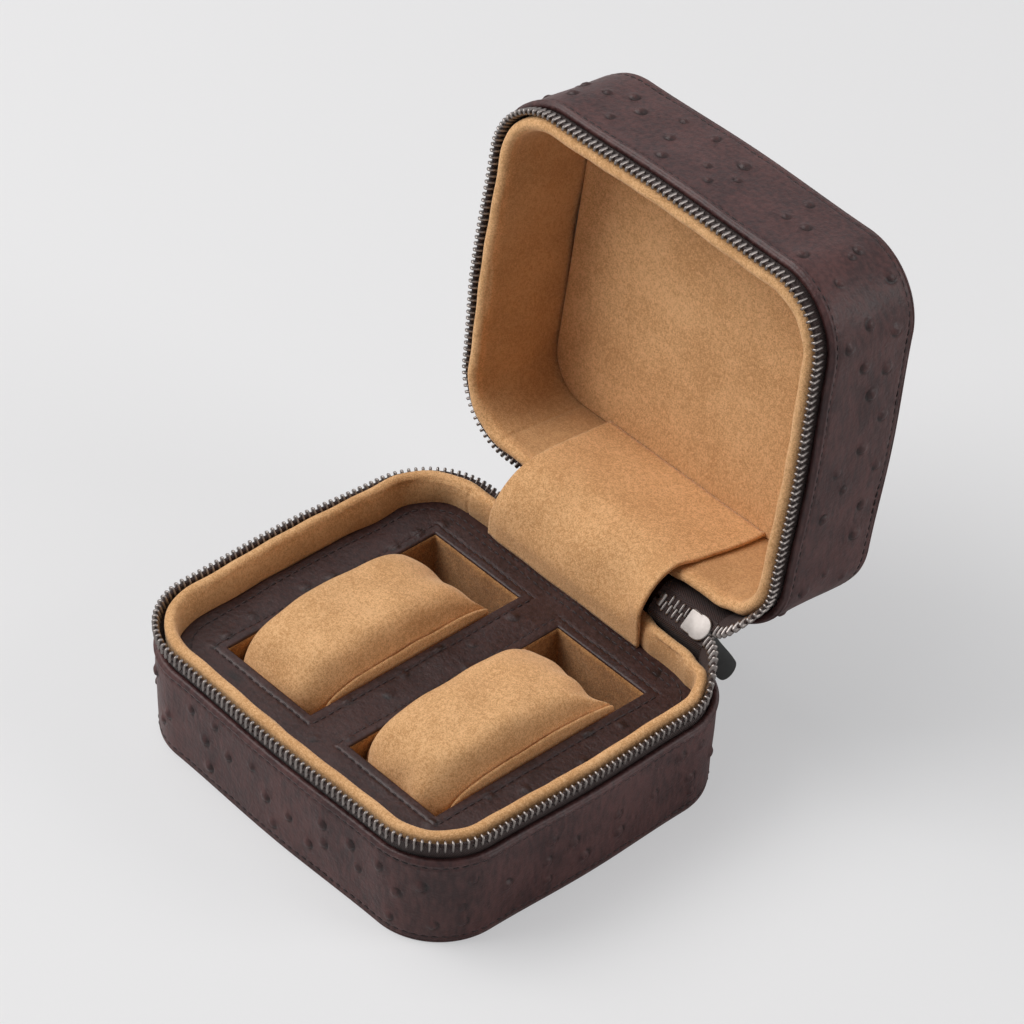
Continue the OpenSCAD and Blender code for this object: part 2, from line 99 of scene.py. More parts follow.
def smooth(t: Array | float) -> Array:
    """Eased step from 0 to 1: t squared times (3 - 2 t), with t held between 0 and 1."""
    t = np.clip(t, 0.0, 1.0)
    return t * t * (3.0 - 2.0 * t)


def between(low: float, high: float, count: int) -> Array:
    """Evenly spaced values from low to high."""
    return np.linspace(low, high, count)


def quarter(count: int) -> Array:
    """Angles from 0 to a quarter turn."""
    return between(0, math.pi / 2, count)


def travelled_along(points: Array) -> Array:
    """Length travelled from a path's first point to each of its points."""
    return np.r_[0, np.cumsum(np.linalg.norm(np.diff(points, axis=0), axis=1))]


def unit(vectors: Array) -> Array:
    """The same directions with a length of 1."""
    return vectors / np.linalg.norm(vectors, axis=-1, keepdims=True)


def level(loop: Array, z: float) -> Array:
    """A flat loop of two coordinates, laid at one height."""
    return np.c_[loop, np.full(len(loop), z)]


def cubic(a: Array, b: Array, c: Array, d: Array, count: int) -> Array:
    """Cubic curve from a to d that leaves towards b and arrives from c."""
    t = between(0, 1, count)[:, None]
    return (1 - t)**3 * a + 3 * t * (1 - t)**2 * b + 3 * t**2 * (1 - t) * c + t**3 * d


def closed_spline(points: Sequence[tuple[float, float]], count: int) -> Array:
    """Round closed curve through a few points.

    Each stretch is the cubic whose slope at a point is half the chord of its two neighbours.

    Args:
        points: The points that the curve passes through, in order.
        count: How many samples to return, evenly spaced along the curve.

    Returns:
        An array of count rows of two coordinates.
    """
    p = np.asarray(points, float)
    fine = 24
    t = between(0, 1, fine + 1)[:-1, None]
    before, start, end, after = (np.roll(p, k, axis=0) for k in (1, 0, -1, -2))
    m0 = (end - before) / 2
    m1 = (after - start) / 2
    curve = np.concatenate([
        (2 * t**3 - 3 * t**2 + 1) * start[i] + (t**3 - 2 * t**2 + t) * m0[i]
        + (3 * t**2 - 2 * t**3) * end[i] + (t**3 - t**2) * m1[i]
        for i in range(len(p))
    ])
    ring = np.vstack([curve, curve[:1]])
    travelled = travelled_along(ring)
    places = between(0, travelled[-1], count + 1)[:-1]
    return np.stack([np.interp(places, travelled, ring[:, k]) for k in (0, 1)], axis=1)


@dataclass(frozen=True)
class Ripple:
    """Slow waves over a surface, as a sum of a few slanted sines with seeded phases."""

    amplitude: float
    wavelength: float
    seed: int
    waves: int = 7

    def at(self, u: Array, v: Array, period: float | None = None) -> Array:
        """Height of the waves.

        Args:
            u: Place along the surface.
            v: Place across the surface.
            period: Length after which u repeats, or None.

        Returns:
            Heights of the shape of u and v.
        """
        rng = np.random.default_rng(self.seed)
        total = np.zeros(np.broadcast(u, v).shape)
        for _ in range(self.waves):
            angle = rng.uniform(0, 2 * math.pi)
            length = self.wavelength * rng.uniform(0.6, 1.7)
            phase = rng.uniform(0, 2 * math.pi)
            along = math.cos(angle) / length
            if period:
                along = round(along * period) / period
            total += np.sin(2 * math.pi * (u * along + v * math.sin(angle) / length) + phase)
        return self.amplitude * total / math.sqrt(self.waves)


def new_object(name: str, points: Array, faces: Sequence[Sequence[int]]) -> Piece:
    """Makes a smooth-shaded mesh object at the origin from points in millimetres."""
    mesh = bpy.data.meshes.new(name)
    mesh.from_pydata((np.asarray(points, float).reshape(-1, 3) * MM).tolist(), [], faces)
    mesh.polygons.foreach_set("use_smooth", np.ones(len(mesh.polygons), bool))
    mesh.update()
    obj = bpy.data.objects.new(name, mesh)
    bpy.context.scene.collection.objects.link(obj)
    return obj


def grid_faces(rows: int, cols: int, wrap_u: bool, wrap_v: bool, flip: bool) -> Array:
    """Corner numbers of the quads of a grid of rows by cols points, in row order."""
    i = np.arange(rows if wrap_u else rows - 1)
    j = np.arange(cols if wrap_v else cols - 1)
    i, j = (a.ravel() for a in np.meshgrid(i, j, indexing="ij"))
    i1 = (i + 1) % rows
    j1 = (j + 1) % cols
    quads = np.stack([i * cols + j, i1 * cols + j, i1 * cols + j1, i * cols + j1], axis=1)
    return quads[:, ::-1] if flip else quads


def surface(
    name: str,
    grid: Array,
    wrap_u: bool = False,
    wrap_v: bool = False,
    flip: bool = False,
    capped: bool = False,
    uv: tuple[Array, Array] | None = None,
) -> Piece:
    """Makes one surface from a grid of points, a function of two parameters.

    Args:
        name: Name of the piece.
        grid: Points in millimetres, of shape rows by cols by 3.
        wrap_u: True where the last row joins the first.
        wrap_v: True where the last column joins the first.
        flip: Turns the faces over.
        capped: Closes the first and last row of a surface that wraps in v.
        uv: Places along and across for the UV map, in millimetres, each of rows by cols.

    Returns:
        The new object.
    """
    rows, cols = grid.shape[:2]
    quads = grid_faces(rows, cols, wrap_u, wrap_v, flip)
    faces = quads.tolist()
    if capped:
        first = list(range(cols))
        last = list(range((rows - 1) * cols, rows * cols))
        faces += [last, first[::-1]] if flip else [first, last[::-1]]
        faces[-2:] = [f[::-1] for f in faces[-2:]]
    obj = new_object(name, grid, faces)
    if uv is not None:
        layer = obj.data.uv_layers.new(name="along")
        u, v = (np.broadcast_to(a, (rows, cols)) for a in uv)
        corners = quads.ravel()
        flat_u, flat_v = u.ravel()[corners], v.ravel()[corners]
        if wrap_u:
            step = 2 * u[-1].max() - u[-2].max()
            seam = np.repeat((quads // cols).min(axis=1) == 0, 4)
            seam &= np.repeat((quads // cols).max(axis=1) == rows - 1, 4)
            flat_u = np.where(seam & (corners // cols == 0), step, flat_u)
        data = np.zeros((len(obj.data.loops), 2))
        data[: len(corners)] = np.stack([flat_u, flat_v], axis=1) * MM
        layer.data.foreach_set("uv", data.astype(np.float32).ravel())
    return obj


def disc_surface(name: str, grid: Array, flip: bool, pole_end: bool = True) -> Piece:
    """Makes a closed surface whose rows are rings, with the first row drawn to a single point.

    Args:
        name: Name of the piece.
        grid: Rings in millimetres, of shape rings by points by 3.
        flip: Turns the faces over.
        pole_end: True where the last ring is drawn to a point as well.

    Returns:
        The new object.
    """
    count = grid.shape[1]
    inner = grid[1:-1] if pole_end else grid[1:]
    points = inner.reshape(-1, 3)
    faces = grid_faces(len(inner), count, False, True, flip).tolist()
    here = np.arange(count)
    after = (here + 1) % count
    start = len(points)
    points = np.vstack([points, grid[0].mean(axis=0)])
    fan = np.stack([np.full(count, start), here, after], axis=1)
    faces += (fan[:, ::-1] if flip else fan).tolist()
    if pole_end:
        points = np.vstack([points, grid[-1].mean(axis=0)])
        base = (len(inner) - 1) * count
        fan = np.stack([np.full(count, start + 1), base + after, base + here], axis=1)
        faces += (fan[:, ::-1] if flip else fan).tolist()
    return new_object(name, points, faces)


@dataclass(frozen=True)
class Shape:
    """A small closed shape that is repeated: rings of points and the faces over them."""

    rings: Array

    def faces(self) -> tuple[Array, list[list[int]]]:
        """The side quads and the two end caps, in the numbering of the flattened rings."""
        count, sides = self.rings.shape[:2]
        quads = grid_faces(count, sides, False, True, False)
        first = list(range(sides))
        last = list(range((count - 1) * sides, count * sides))
        return quads, [first[::-1], last]

    def copies(self, name: str, origins: Array, axes: Array) -> Piece:
        """Makes one piece that holds the shape at many places.

        Args:
            name: Name of the piece.
            origins: Where each copy's origin goes, n by 3.
            axes: Each copy's local X, Y and Z directions as rows, n by 3 by 3.

        Returns:
            The new object.
        """
        local = self.rings.reshape(-1, 3)
        points = origins[:, None, :] + np.einsum("kc,ncd->nkd", local, axes)
        quads, caps = self.faces()
        shift = np.arange(len(origins)) * len(local)
        faces = (quads[None] + shift[:, None, None]).reshape(-1, 4).tolist()
        for cap in caps:
            faces += (np.array(cap)[None] + shift[:, None]).tolist()
        obj = new_object(name, points, faces)
        face_outwards(obj)
        return obj


def face_outwards(obj: Piece) -> None:
    """Recalculates the normals of closed shapes so that they point outwards."""
    mesh = bmesh.new()
    mesh.from_mesh(obj.data)
    bmesh.ops.recalc_face_normals(mesh, faces=mesh.faces)
    mesh.to_mesh(obj.data)
    mesh.free()


def face_up(mesh: bmesh.types.BMesh) -> None:
    """Recalculates an open sheet's normals so that they point up."""
    bmesh.ops.recalc_face_normals(mesh, faces=mesh.faces)
    if sum(f.normal.z for f in mesh.faces) < 0:
        bmesh.ops.reverse_faces(mesh, faces=mesh.faces)


def rounded_loop(width: float, depth: float, radius: float, sides: int) -> Array:
    """Rounded rectangle about the origin with the same number of points on each corner."""
    a = quarter(sides)
    corners = []
    for k, (sx, sy) in enumerate(((1, 1), (-1, 1), (-1, -1), (1, -1))):
        angle = a + k * math.pi / 2
        cx = sx * (width / 2 - radius)
        cy = sy * (depth / 2 - radius)
        corners.append(np.stack([cx + radius * np.cos(angle), cy + radius * np.sin(angle)], axis=1))
    return np.vstack(corners)


def fill_sides(loop: Array, count: int) -> Array:
    """The same loop with each straight stretch over 5 mm held by count points."""
    parts = []
    for here, after in zip(loop, np.roll(loop, -1, axis=0)):
        straight = np.linalg.norm(after - here) > 5
        parts.append(np.linspace(here, after, count if straight else 2)[:-1])
    return np.concatenate(parts)


def block(loop: Array, low: float, high: float, bevel: float) -> Array:
    """Rings of a flat block over an outline, with round edges above and below.

    Each ring is the outline drawn in towards its middle by the bevel's quarter circle, and the two
    end rings close the faces.

    Args:
        loop: Outline, n by 2.
        low: Height of the lower face.
        high: Height of the upper face.
        bevel: Radius of the edges.

    Returns:
        Rings of shape m by n by 3, from below to above.
    """
    middle = loop.mean(axis=0)
    reach = np.linalg.norm(loop - middle, axis=1).max()
    turn = quarter(4)
    draw = np.r_[bevel * (1 - np.sin(turn)), bevel * (1 - np.cos(turn))]
    heights = np.r_[low + bevel * (1 - np.cos(turn)), high - bevel * (1 - np.sin(turn))]
    rings = []
    for d, z in zip(draw, heights):
        flat = middle + (loop - middle) * (1 - d / reach)
        rings.append(level(flat, z))
    return np.array(rings)


@dataclass(frozen=True)
class Hinge:
    """The line, along X, that the lid turns about."""

    y: float
    z: float
    open_deg: float

    def turn(self, points: Array, degrees: Array | float) -> Array:
        """Points turned about the hinge line, with positive angles opening the case.

        With dy and dz measured from the line, dy becomes dy cos a + dz sin a and dz becomes
        dz cos a - dy sin a.
        """
        a = np.radians(degrees)
        dy = points[..., 1] - self.y
        dz = points[..., 2] - self.z
        y = self.y + dy * np.cos(a) + dz * np.sin(a)
        z = self.z - dy * np.sin(a) + dz * np.cos(a)
        return np.stack([points[..., 0], y, z], axis=-1)


@dataclass(frozen=True)
class Outline:
    """The case's outline seen from above: a rounded rectangle whose sides bow out a little.

    Places on it are lengths travelled clockwise from the middle of the back.
    """

    width: float
    depth: float
    radius: float
    bow: float

    def knots(self) -> Triple:
        """Lengths, corner centres and heading angles where straights and arcs meet."""
        cx = self.width / 2 - self.radius
        cy = self.depth / 2 - self.radius
        arc = self.radius * math.pi / 2
        lengths = np.cumsum([0, cx, arc, 2 * cy, arc, 2 * cx, arc, 2 * cy, arc, cx])
        centres = np.array([
            (0, cy), (cx, cy), (cx, cy), (cx, -cy), (cx, -cy),
            (-cx, -cy), (-cx, -cy), (-cx, cy), (-cx, cy), (0, cy),
        ], float)
        angles = np.array([90, 90, 0, 0, -90, -90, -180, -180, -270, -270], float)
        return lengths, centres, angles

    @property
    def length(self) -> float:
        """Length of the whole outline."""
        return float(self.knots()[0][-1])

    def at(self, s: Array, offset: Array | float) -> tuple[Array, Array]:
        """Points at a distance outside the outline, and the outward directions there.

        A point is the corner centre below it plus the outward direction times the radius, the
        offset and the bow. The bow is the squared cosine along each side, and none at the back.

        Args:
            s: Lengths along the outline, of any shape.
            offset: Distances outwards, of a shape that broadcasts with s.

        Returns:
            Points and directions, each with a last axis of 2.
        """
        lengths, centres, angles = self.knots()
        s = np.mod(s, lengths[-1])
        cx = np.interp(s, lengths, centres[:, 0])
        cy = np.interp(s, lengths, centres[:, 1])
        a = np.radians(np.interp(s, lengths, angles))
        nx, ny = np.cos(a), np.sin(a)
        half_x = self.width / 2 - self.radius
        half_y = self.depth / 2 - self.radius
        along_x = np.cos(np.pi / 2 * cx / half_x) ** 2 * (ny < 0)
        along_y = np.cos(np.pi / 2 * cy / half_y) ** 2
        out = self.radius + offset + self.bow * np.maximum(along_x, along_y)
        points = np.stack(np.broadcast_arrays(cx + nx * out, cy + ny * out), axis=-1)
        return points, np.stack(np.broadcast_arrays(nx, ny), axis=-1)

    def steps(self, step: float) -> Array:
        """Places round the whole outline, about a step apart."""
        return between(0, self.length, int(self.length / step))[:-1]

    def place_of_x(self, x: float) -> float:
        """Length at which the back's outline passes an X, clockwise from the middle."""
        cx = self.width / 2 - self.radius
        if abs(x) <= cx:
            return x
        beyond = self.radius * math.asin((abs(x) - cx) / self.radius)
        return math.copysign(cx + beyond, x)


@dataclass(frozen=True)
class Case:
    """Sizes shared by the pieces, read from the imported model."""

    hinge: Hinge
    width: float
    depth: float
    rim: dict[Half, float]
    edge: dict[Half, float]
    closed_h: float
    insert_z: float
    well_x: float
    well_w: float
    well_d: float
    well_floor: float
    slider_x: float
    corner_r: float = 24.0
    bow: float = 1.0
    leather_t: float = 1.4
    hem_t: float = 0.7
    lining_in: float = 7.8
    floor_top: float = 3.7
    track_inset: float = 2.6
    rim_gap: float = 1.2
    tooth_pitch: float = 2.25
    mouth_x: float = 54.5
    chain_x: tuple[float, float] = (33.0, 42.0)

    @classmethod
    def from_frame(cls) -> "Case":
        """Reads the case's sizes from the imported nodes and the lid's joint."""
        joint = next(j for j in frame["joints"] if j["name"] == "lid_hinge")
        pos = joint["pos_m"]
        hinge = Hinge(pos[1] / MM, pos[2] / MM, -joint["range_deg"][0])

        def box(node: str) -> Array:
            """Corners of a node at rest, in millimetres."""
            return np.array([list(c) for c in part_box(node)]) / MM

        def closed_box(node: str, share: float = 1.0) -> Array:
            """Corners of a node turned back to the closed case, in millimetres."""
            mesh = frame["nodes"][node].data
            co = np.zeros(len(mesh.vertices) * 3)
            mesh.vertices.foreach_get("co", co)
            turned = hinge.turn(co.reshape(-1, 3) / MM, -hinge.open_deg * share)
            return np.array([turned.min(axis=0), turned.max(axis=0)])

        floor = box("base_floor_leather")
        closed_h = closed_box("lid_top_leather")[1, 2]
        well = box("well_lining_right")
        lining_t = 1.0
        slider = closed_box("slider_body", 0.5)
        return cls(
            hinge=hinge,
            width=floor[1, 0] - floor[0, 0],
            depth=floor[1, 1] - floor[0, 1],
            rim={
                Half.BASE: box("base_wall_lining")[1, 2],
                Half.LID: closed_h - closed_box("lid_wall_lining")[0, 2],
            },
            edge={
                Half.BASE: box("base_wall_leather")[1, 2],
                Half.LID: closed_h - closed_box("lid_wall_leather")[0, 2],
            },
            closed_h=closed_h,
            insert_z=box("insert_leather")[1, 2],
            well_x=(well[0, 0] + well[1, 0]) / 2,
            well_w=well[1, 0] - well[0, 0] - 2 * lining_t,
            well_d=well[1, 1] - well[0, 1] - 2 * lining_t,
            well_floor=well[0, 2] + lining_t,
            slider_x=(slider[0, 0] + slider[1, 0]) / 2,
        )

    @property
    def outline(self) -> Outline:
        """Outline of the outer leather."""
        return Outline(self.width, self.depth, self.corner_r, self.bow)

    @property
    def mid(self) -> dict[Half, float]:
        """Height of the closed zip's centre line in each half's own frame."""
        base = self.rim[Half.BASE] + self.rim_gap / 2
        return {Half.BASE: base, Half.LID: self.closed_h - base}

    @property
    def track_y(self) -> float:
        """Y of the zip's centre line along the back."""
        return self.depth / 2 - self.track_inset

    def place(self, points: Array, half: Half, share: Array | float | None = None) -> Array:
        """Puts points drawn in a half's own frame where they are in the open case.

        Args:
            points: Points with a last axis of 3, z up from the half's outer face.
            half: The half that they are drawn for.
            share: Share of the lid's opening that they turn by, 0 with the base and 1 with the lid.

        Returns:
            The points at rest.
        """
        share = half.turned if share is None else share
        points = np.array(points, float)
        if half is Half.LID:
            points[..., 2] = self.closed_h - points[..., 2]
        return self.hinge.turn(points, self.hinge.open_deg * np.asarray(share))

    def directions(self, vectors: Array, half: Half, share: Array | float | None = None) -> Array:
        """Turns directions as place() turns points."""
        return self.place(vectors, half, share) - self.place(np.zeros_like(vectors), half, share)

    def round_grid(self, s: Array, offset: Array, z: Array) -> Array:
        """Points round the case from arrays of length, outward offset and height."""
        s, offset, z = np.broadcast_arrays(s, offset, z)
        xy, _ = self.outline.at(s, offset)
        return np.concatenate([xy, z[..., None]], axis=-1)


CASE = Case.from_frame()


class Nodes:
    """Short way to build a material's node tree."""

    def __init__(self, name: str) -> None:
        """Starts a material that holds a Principled shader.

        Args:
            name: Name of the material.
        """
        self.material = bpy.data.materials.new(name)
        self.material.use_nodes = True
        self.tree = self.material.node_tree
        self.shader = self.tree.nodes["Principled BSDF"]

    def add(self, kind: str, inputs: dict | None = None, **settings: object) -> bpy.types.Node:
        """Adds a node, sets its properties, and links or sets its inputs.

        Args:
            kind: The node's type, without the ShaderNode prefix.
            inputs: Values or sockets by input name or number.
            **settings: Properties of the node.

        Returns:
            The new node.
        """
        node = self.tree.nodes.new("ShaderNode" + kind)
        for key, value in settings.items():
            setattr(node, key, value)
        for key, value in (inputs or {}).items():
            self.plug(node, key, value)
        return node

    def plug(self, node: bpy.types.Node, key: str | int, value: object) -> None:
        """Links a socket to a node's input, or sets the input's value."""
        if isinstance(value, Socket):
            self.tree.links.new(value, node.inputs[key])
        else:
            node.inputs[key].default_value = value

    def places(self) -> Socket:
        """Object coordinates."""
        return self.add("TexCoord").outputs["Object"]

    def noise(self, vector: Socket, scale: float, detail: float = 3.0) -> Socket:
        """Noise pattern with its scale in repeats per metre."""
        node = self.add("TexNoise", {"Vector": vector, "Scale": scale, "Detail": detail})
        return node.outputs["Fac"]

    def ramp(self, value: Socket, stops: Sequence[tuple[float, tuple]]) -> Socket:
        """Colour from a value, by stops of place and colour."""
        node = self.add("ValToRGB", {0: value})
        elements = node.color_ramp.elements
        elements[0].position, elements[1].position = stops[0][0], stops[-1][0]
        elements[0].color, elements[1].color = (*stops[0][1], 1), (*stops[-1][1], 1)
        for place, colour in stops[1:-1]:
            elements.new(place).color = (*colour, 1)
        return node.outputs["Color"]

    def math(self, operation: str, a: object, b: object) -> Socket:
        """Result of a two-input math operation."""
        return self.add("Math", {0: a, 1: b}, operation=operation).outputs[0]

    def attribute(self, name: str) -> Socket:
        """A number stored on the piece's points."""
        return self.add("Attribute", attribute_name=name).outputs["Fac"]

    def weigh(self, *parts: tuple[Socket, float]) -> Socket:
        """Sum of values, each times its weight."""
        first, *rest = (self.math("MULTIPLY", value, weight) for value, weight in parts)
        for part in rest:
            first = self.math("ADD", first, part)
        return first

    def scale_range(self, value: Socket, low: float, high: float) -> Socket:
        """Value from 0 to 1 spread over a range."""
        return self.add("MapRange", {"Value": value, "To Min": low, "To Max": high}).outputs[0]

    def mix(self, share: object, a: object, b: object, blend: str = "MIX") -> Socket:
        """Two colours mixed by a share."""
        node = self.add("Mix", data_type="RGBA", blend_type=blend)
        for index, value in ((0, share), (6, a), (7, b)):
            self.plug(node, index, value)
        return node.outputs[2]

    def bump(self, height: Socket, distance: float, strength: float = 1.0) -> None:
        """Adds bump from a height, with its distance in metres, over any bump set before."""
        node = self.add("Bump", {"Height": height, "Distance": distance, "Strength": strength})
        normal = self.shader.inputs["Normal"]
        if normal.is_linked:
            self.tree.links.new(normal.links[0].from_socket, node.inputs["Normal"])
            self.tree.links.remove(normal.links[0])
        self.tree.links.new(node.outputs[0], normal)

    def set(self, **values: object) -> None:
        """Sets or links the shader's inputs, with underscores for spaces in their names."""
        for key, value in values.items():
            self.plug(self.shader, key.replace("_", " "), value)


def colour(red: float, green: float, blue: float) -> tuple[float, float, float]:
    """Linear colour from screen values between 0 and 255."""
    screen = np.array([red, green, blue]) / 255
    linear = np.where(screen <= 0.04045, screen / 12.92, ((screen + 0.055) / 1.055) ** 2.4)
    return tuple(float(c) for c in linear)


@dataclass(frozen=True)
class OstrichLeather:
    """Dark brown leather with quill bumps: fine grain, slow stains, slightly darker rises, and quill
    pits whose dark crescent is partly their own colour and partly painted shade, turned from the lamps.
    """

    name: str
    dark: tuple[float, float, float]
    light: tuple[float, float, float]
    roughness: tuple[float, float] = (0.36, 0.56)
    grain_depth: float = 0.00012

    def material(self) -> bpy.types.Material:
        """Builds the material."""
        n = Nodes(self.name)
        where = n.places()
        stain = n.noise(where, 48, 4)
        along = n.add("Mapping", {"Vector": where, "Scale": (1.0, 1.0, 0.32)}).outputs[0]
        streak = n.noise(along, 620, 4)
        both = n.weigh((stain, 0.4), (streak, 0.6))
        base = n.ramp(both, [(0.38, self.dark), (0.62, self.light)])
        # Partly painted shade: the crescent darkens almost to black on the side of each bump turned
        # from the lamps; the rises darken slightly.
        deep = tuple(0.16 * c for c in self.dark)
        for label, share in (("rise", 0.16), ("hole_and_shade", 0.92)):
            base = n.mix(n.math("MULTIPLY", n.attribute(label), share), base, (*deep, 1))
        cells = n.add("TexVoronoi", {"Vector": where, "Scale": 1500.0}, feature="SMOOTH_F1")
        pores = cells.outputs["Distance"]
        creases = n.noise(where, 600, 5)
        n.set(
            Base_Color=base,
            Roughness=n.scale_range(streak, *self.roughness),
            Specular_IOR_Level=0.36,
        )
        n.bump(pores, self.grain_depth, 0.55)
        n.bump(creases, self.grain_depth * 3.0, 0.6)
        return n.material


@dataclass(frozen=True)
class Suede:
    """Tan suede: soft patches where the nap lies differently, fine fibres and sheen.

    It carries painted shade: a darker tan where the piece's per-point attribute is high, low down on
    the inner faces of the walls' linings.
    """

    name: str
    dark: tuple[float, float, float]
    light: tuple[float, float, float]
    patch: float = 70.0

    def material(self) -> bpy.types.Material:
        """Builds the material."""
        n = Nodes(self.name)
        where = n.places()
        patches = n.noise(where, self.patch, 3)
        fibre = n.noise(where, 2300, 2)
        nap = n.noise(where, 800, 3)
        both = n.weigh((patches, 0.2), (fibre, 0.52), (nap, 0.28))
        base = n.ramp(both, [(0.42, self.dark), (0.58, self.light)])
        # Painted shade: a darker tan mixed in low on the linings' inner faces, where shade falls.
        flat = n.attribute("painted_shade")
        lining_shade_tone = tuple(0.55 * c for c in self.dark)
        base = n.mix(n.math("MULTIPLY", flat, 0.34), base, (*lining_shade_tone, 1))
        n.set(Base_Color=base, Roughness=0.95, Specular_IOR_Level=0.12)
        n.set(Sheen_Weight=0.35, Sheen_Roughness=0.45, Sheen_Tint=(1.0, 0.86, 0.66, 1.0))
        n.bump(fibre, 0.00025, 0.6)
        n.bump(nap, 0.0004, 0.35)
        return n.material


@dataclass(frozen=True)
class WovenTape:
    """Near-black woven tape: slanted ribs of a twill, read from the UV map."""

    name: str
    dark: tuple[float, float, float]
    light: tuple[float, float, float]
    rib: float = 0.55

    def material(self) -> bpy.types.Material:
        """Builds the material."""
        n = Nodes(self.name)
        uv = n.add("UVMap", uv_map="along").outputs[0]
        turn = n.add("Mapping", {"Vector": uv, "Rotation": (0.0, 0.0, math.radians(38))}).outputs[0]
        scale = 1 / (math.pi * self.rib * MM)
        wave = n.add(
            "TexWave",
            {"Vector": turn, "Scale": scale, "Distortion": 1.2, "Detail": 1.0},
            bands_direction="X",
        ).outputs["Fac"]
        speck = n.noise(n.places(), 2600, 2)
        both = n.weigh((wave, 0.65), (speck, 0.35))
        n.set(Base_Color=n.ramp(both, [(0.25, self.dark), (0.8, self.light)]), Roughness=0.72)
        n.set(Specular_IOR_Level=0.35, Sheen_Weight=0.15, Sheen_Roughness=0.4)
        n.bump(wave, 0.00018, 0.8)
        n.bump(speck, 0.0001, 0.4)
        return n.material


@dataclass(frozen=True)
class Metal:
    """Plated metal with a fine unevenness in its shine and faint scratches."""

    name: str
    tone: tuple[float, float, float]
    roughness: tuple[float, float]

    def material(self) -> bpy.types.Material:
        """Builds the material."""
        n = Nodes(self.name)
        where = n.places()
        cloud = n.noise(where, 700, 3)
        scratch = n.noise(
            n.add("Mapping", {"Vector": where, "Scale": (1.0, 14.0, 3.0)}).outputs[0], 500, 4)
        worn = tuple(0.8 * c for c in self.tone)
        n.set(
            Base_Color=n.ramp(cloud, [(0.3, worn), (0.7, self.tone)]),
            Metallic=1.0,
            Roughness=n.scale_range(cloud, *self.roughness),
        )
        n.bump(scratch, 0.00002, 0.35)
        return n.material


@dataclass(frozen=True)
class Plain:
    """Coated or fibrous surface: two close tones and a fine bump."""

    name: str
    dark: tuple[float, float, float]
    light: tuple[float, float, float]
    roughness: float
    grain: float
    depth: float

    def material(self) -> bpy.types.Material:
        """Builds the material."""
        n = Nodes(self.name)
        where = n.places()
        cloud = n.noise(where, self.grain, 4)
        n.set(
            Base_Color=n.ramp(cloud, [(0.3, self.dark), (0.7, self.light)]),
            Roughness=n.scale_range(cloud, self.roughness - 0.06, self.roughness + 0.06),
        )
        n.bump(n.noise(where, self.grain * 4, 3), self.depth, 0.6)
        return n.material


class Finish(Enum):
    """The finishes of the case, each with the material slot that it stands for."""

    LEATHER = (
        "ostrich_leather", OstrichLeather("quilled_hide", colour(50, 27, 27), colour(84, 53, 51)))
    INSERT = (
        "insert_leather", OstrichLeather("quilled_insert_hide", colour(38, 20, 19), colour(60, 38, 36)))
    SUEDE = ("suede", Suede("tan_suede", colour(199, 150, 101), colour(237, 189, 138)))
    # Painted shade: a darker copy of the tan suede, in the same slot, for the wells' recesses.
    WELL_SUEDE = ("suede", Suede("shaded_tan_suede_of_wells", colour(138, 98, 60), colour(182, 136, 90)))
    TAPE = ("zip_tape", WovenTape("woven_tape", colour(30, 19, 18), colour(66, 47, 44)))
    TEETH = ("zip_metal", Metal("dark_nickel", (0.27, 0.24, 0.225), (0.3, 0.44)))
    NICKEL = ("slider_metal", Metal("satin_nickel", (0.29, 0.265, 0.25), (0.42, 0.52)))
    BLACK = (
        "pull_black", Plain("matte_black", (0.012, 0.012, 0.011), (0.02, 0.02, 0.019), 0.4, 500, 2e-5))
    THREAD = (
        "ostrich_leather", Plain("thread", colour(22, 13, 14), colour(46, 30, 31), 0.7, 2500, 6e-5))
    BOARD = ("board", Plain("grey_board", (0.2, 0.15, 0.1), (0.34, 0.27, 0.2), 0.9, 300, 1e-4))
    FOAM = ("foam", Plain("open_foam", (0.62, 0.58, 0.48), (0.78, 0.74, 0.64), 0.95, 700, 3e-4))

    def __init__(self, slot: str, recipe: object) -> None:
        """Keeps the slot's name and the recipe.

        Args:
            slot: Material slot of the record.
            recipe: Finish with a material() method.
        """
        self.slot = slot
        self.recipe = recipe

    def material(self) -> bpy.types.Material:
        """The finish's material, built once."""
        return bpy.data.materials.get(self.recipe.name) or self.recipe.material()


def dress(obj: Piece, finish: Finish, body: str | None, replaces: Sequence[str] = ()) -> Piece:
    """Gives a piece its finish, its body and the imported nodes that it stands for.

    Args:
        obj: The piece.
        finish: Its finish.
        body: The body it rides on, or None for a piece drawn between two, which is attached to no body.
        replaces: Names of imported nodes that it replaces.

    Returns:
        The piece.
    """
    obj.data.materials.clear()
    obj.data.materials.append(finish.material())
    if body:
        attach(obj, body)
    if replaces:
        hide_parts(*replaces)
    log.info("%s: %d faces, %s", obj.name, len(obj.data.polygons), finish.name.lower())
    return obj


def set_attribute(obj: Piece, name: str, values: Array) -> None:
    """Stores one number per point on a piece."""
    data = obj.data.attributes.new(name, "FLOAT", "POINT").data
    full = np.zeros(len(obj.data.vertices), np.float32)
    full[: values.size] = values.ravel()
    data.foreach_set("value", full)


def set_relief(obj: Piece, hole_and_shade: Array, rise: Array) -> None:
    """Stores how far each point of a leather piece lies in a quill's dark crescent, partly pit and
    partly painted shade, and on a rise.
    """
    set_attribute(obj, "hole_and_shade", hole_and_shade)
    set_attribute(obj, "rise", rise)


def thicken(obj: Piece, thickness: float, offset: float = -1.0) -> None:
    """Gives a sheet its thickness, on the inner side by default."""
    solid = obj.modifiers.new("thickness", "SOLIDIFY")
    solid.thickness = thickness * MM
    solid.offset = offset
    solid.use_even_offset = True


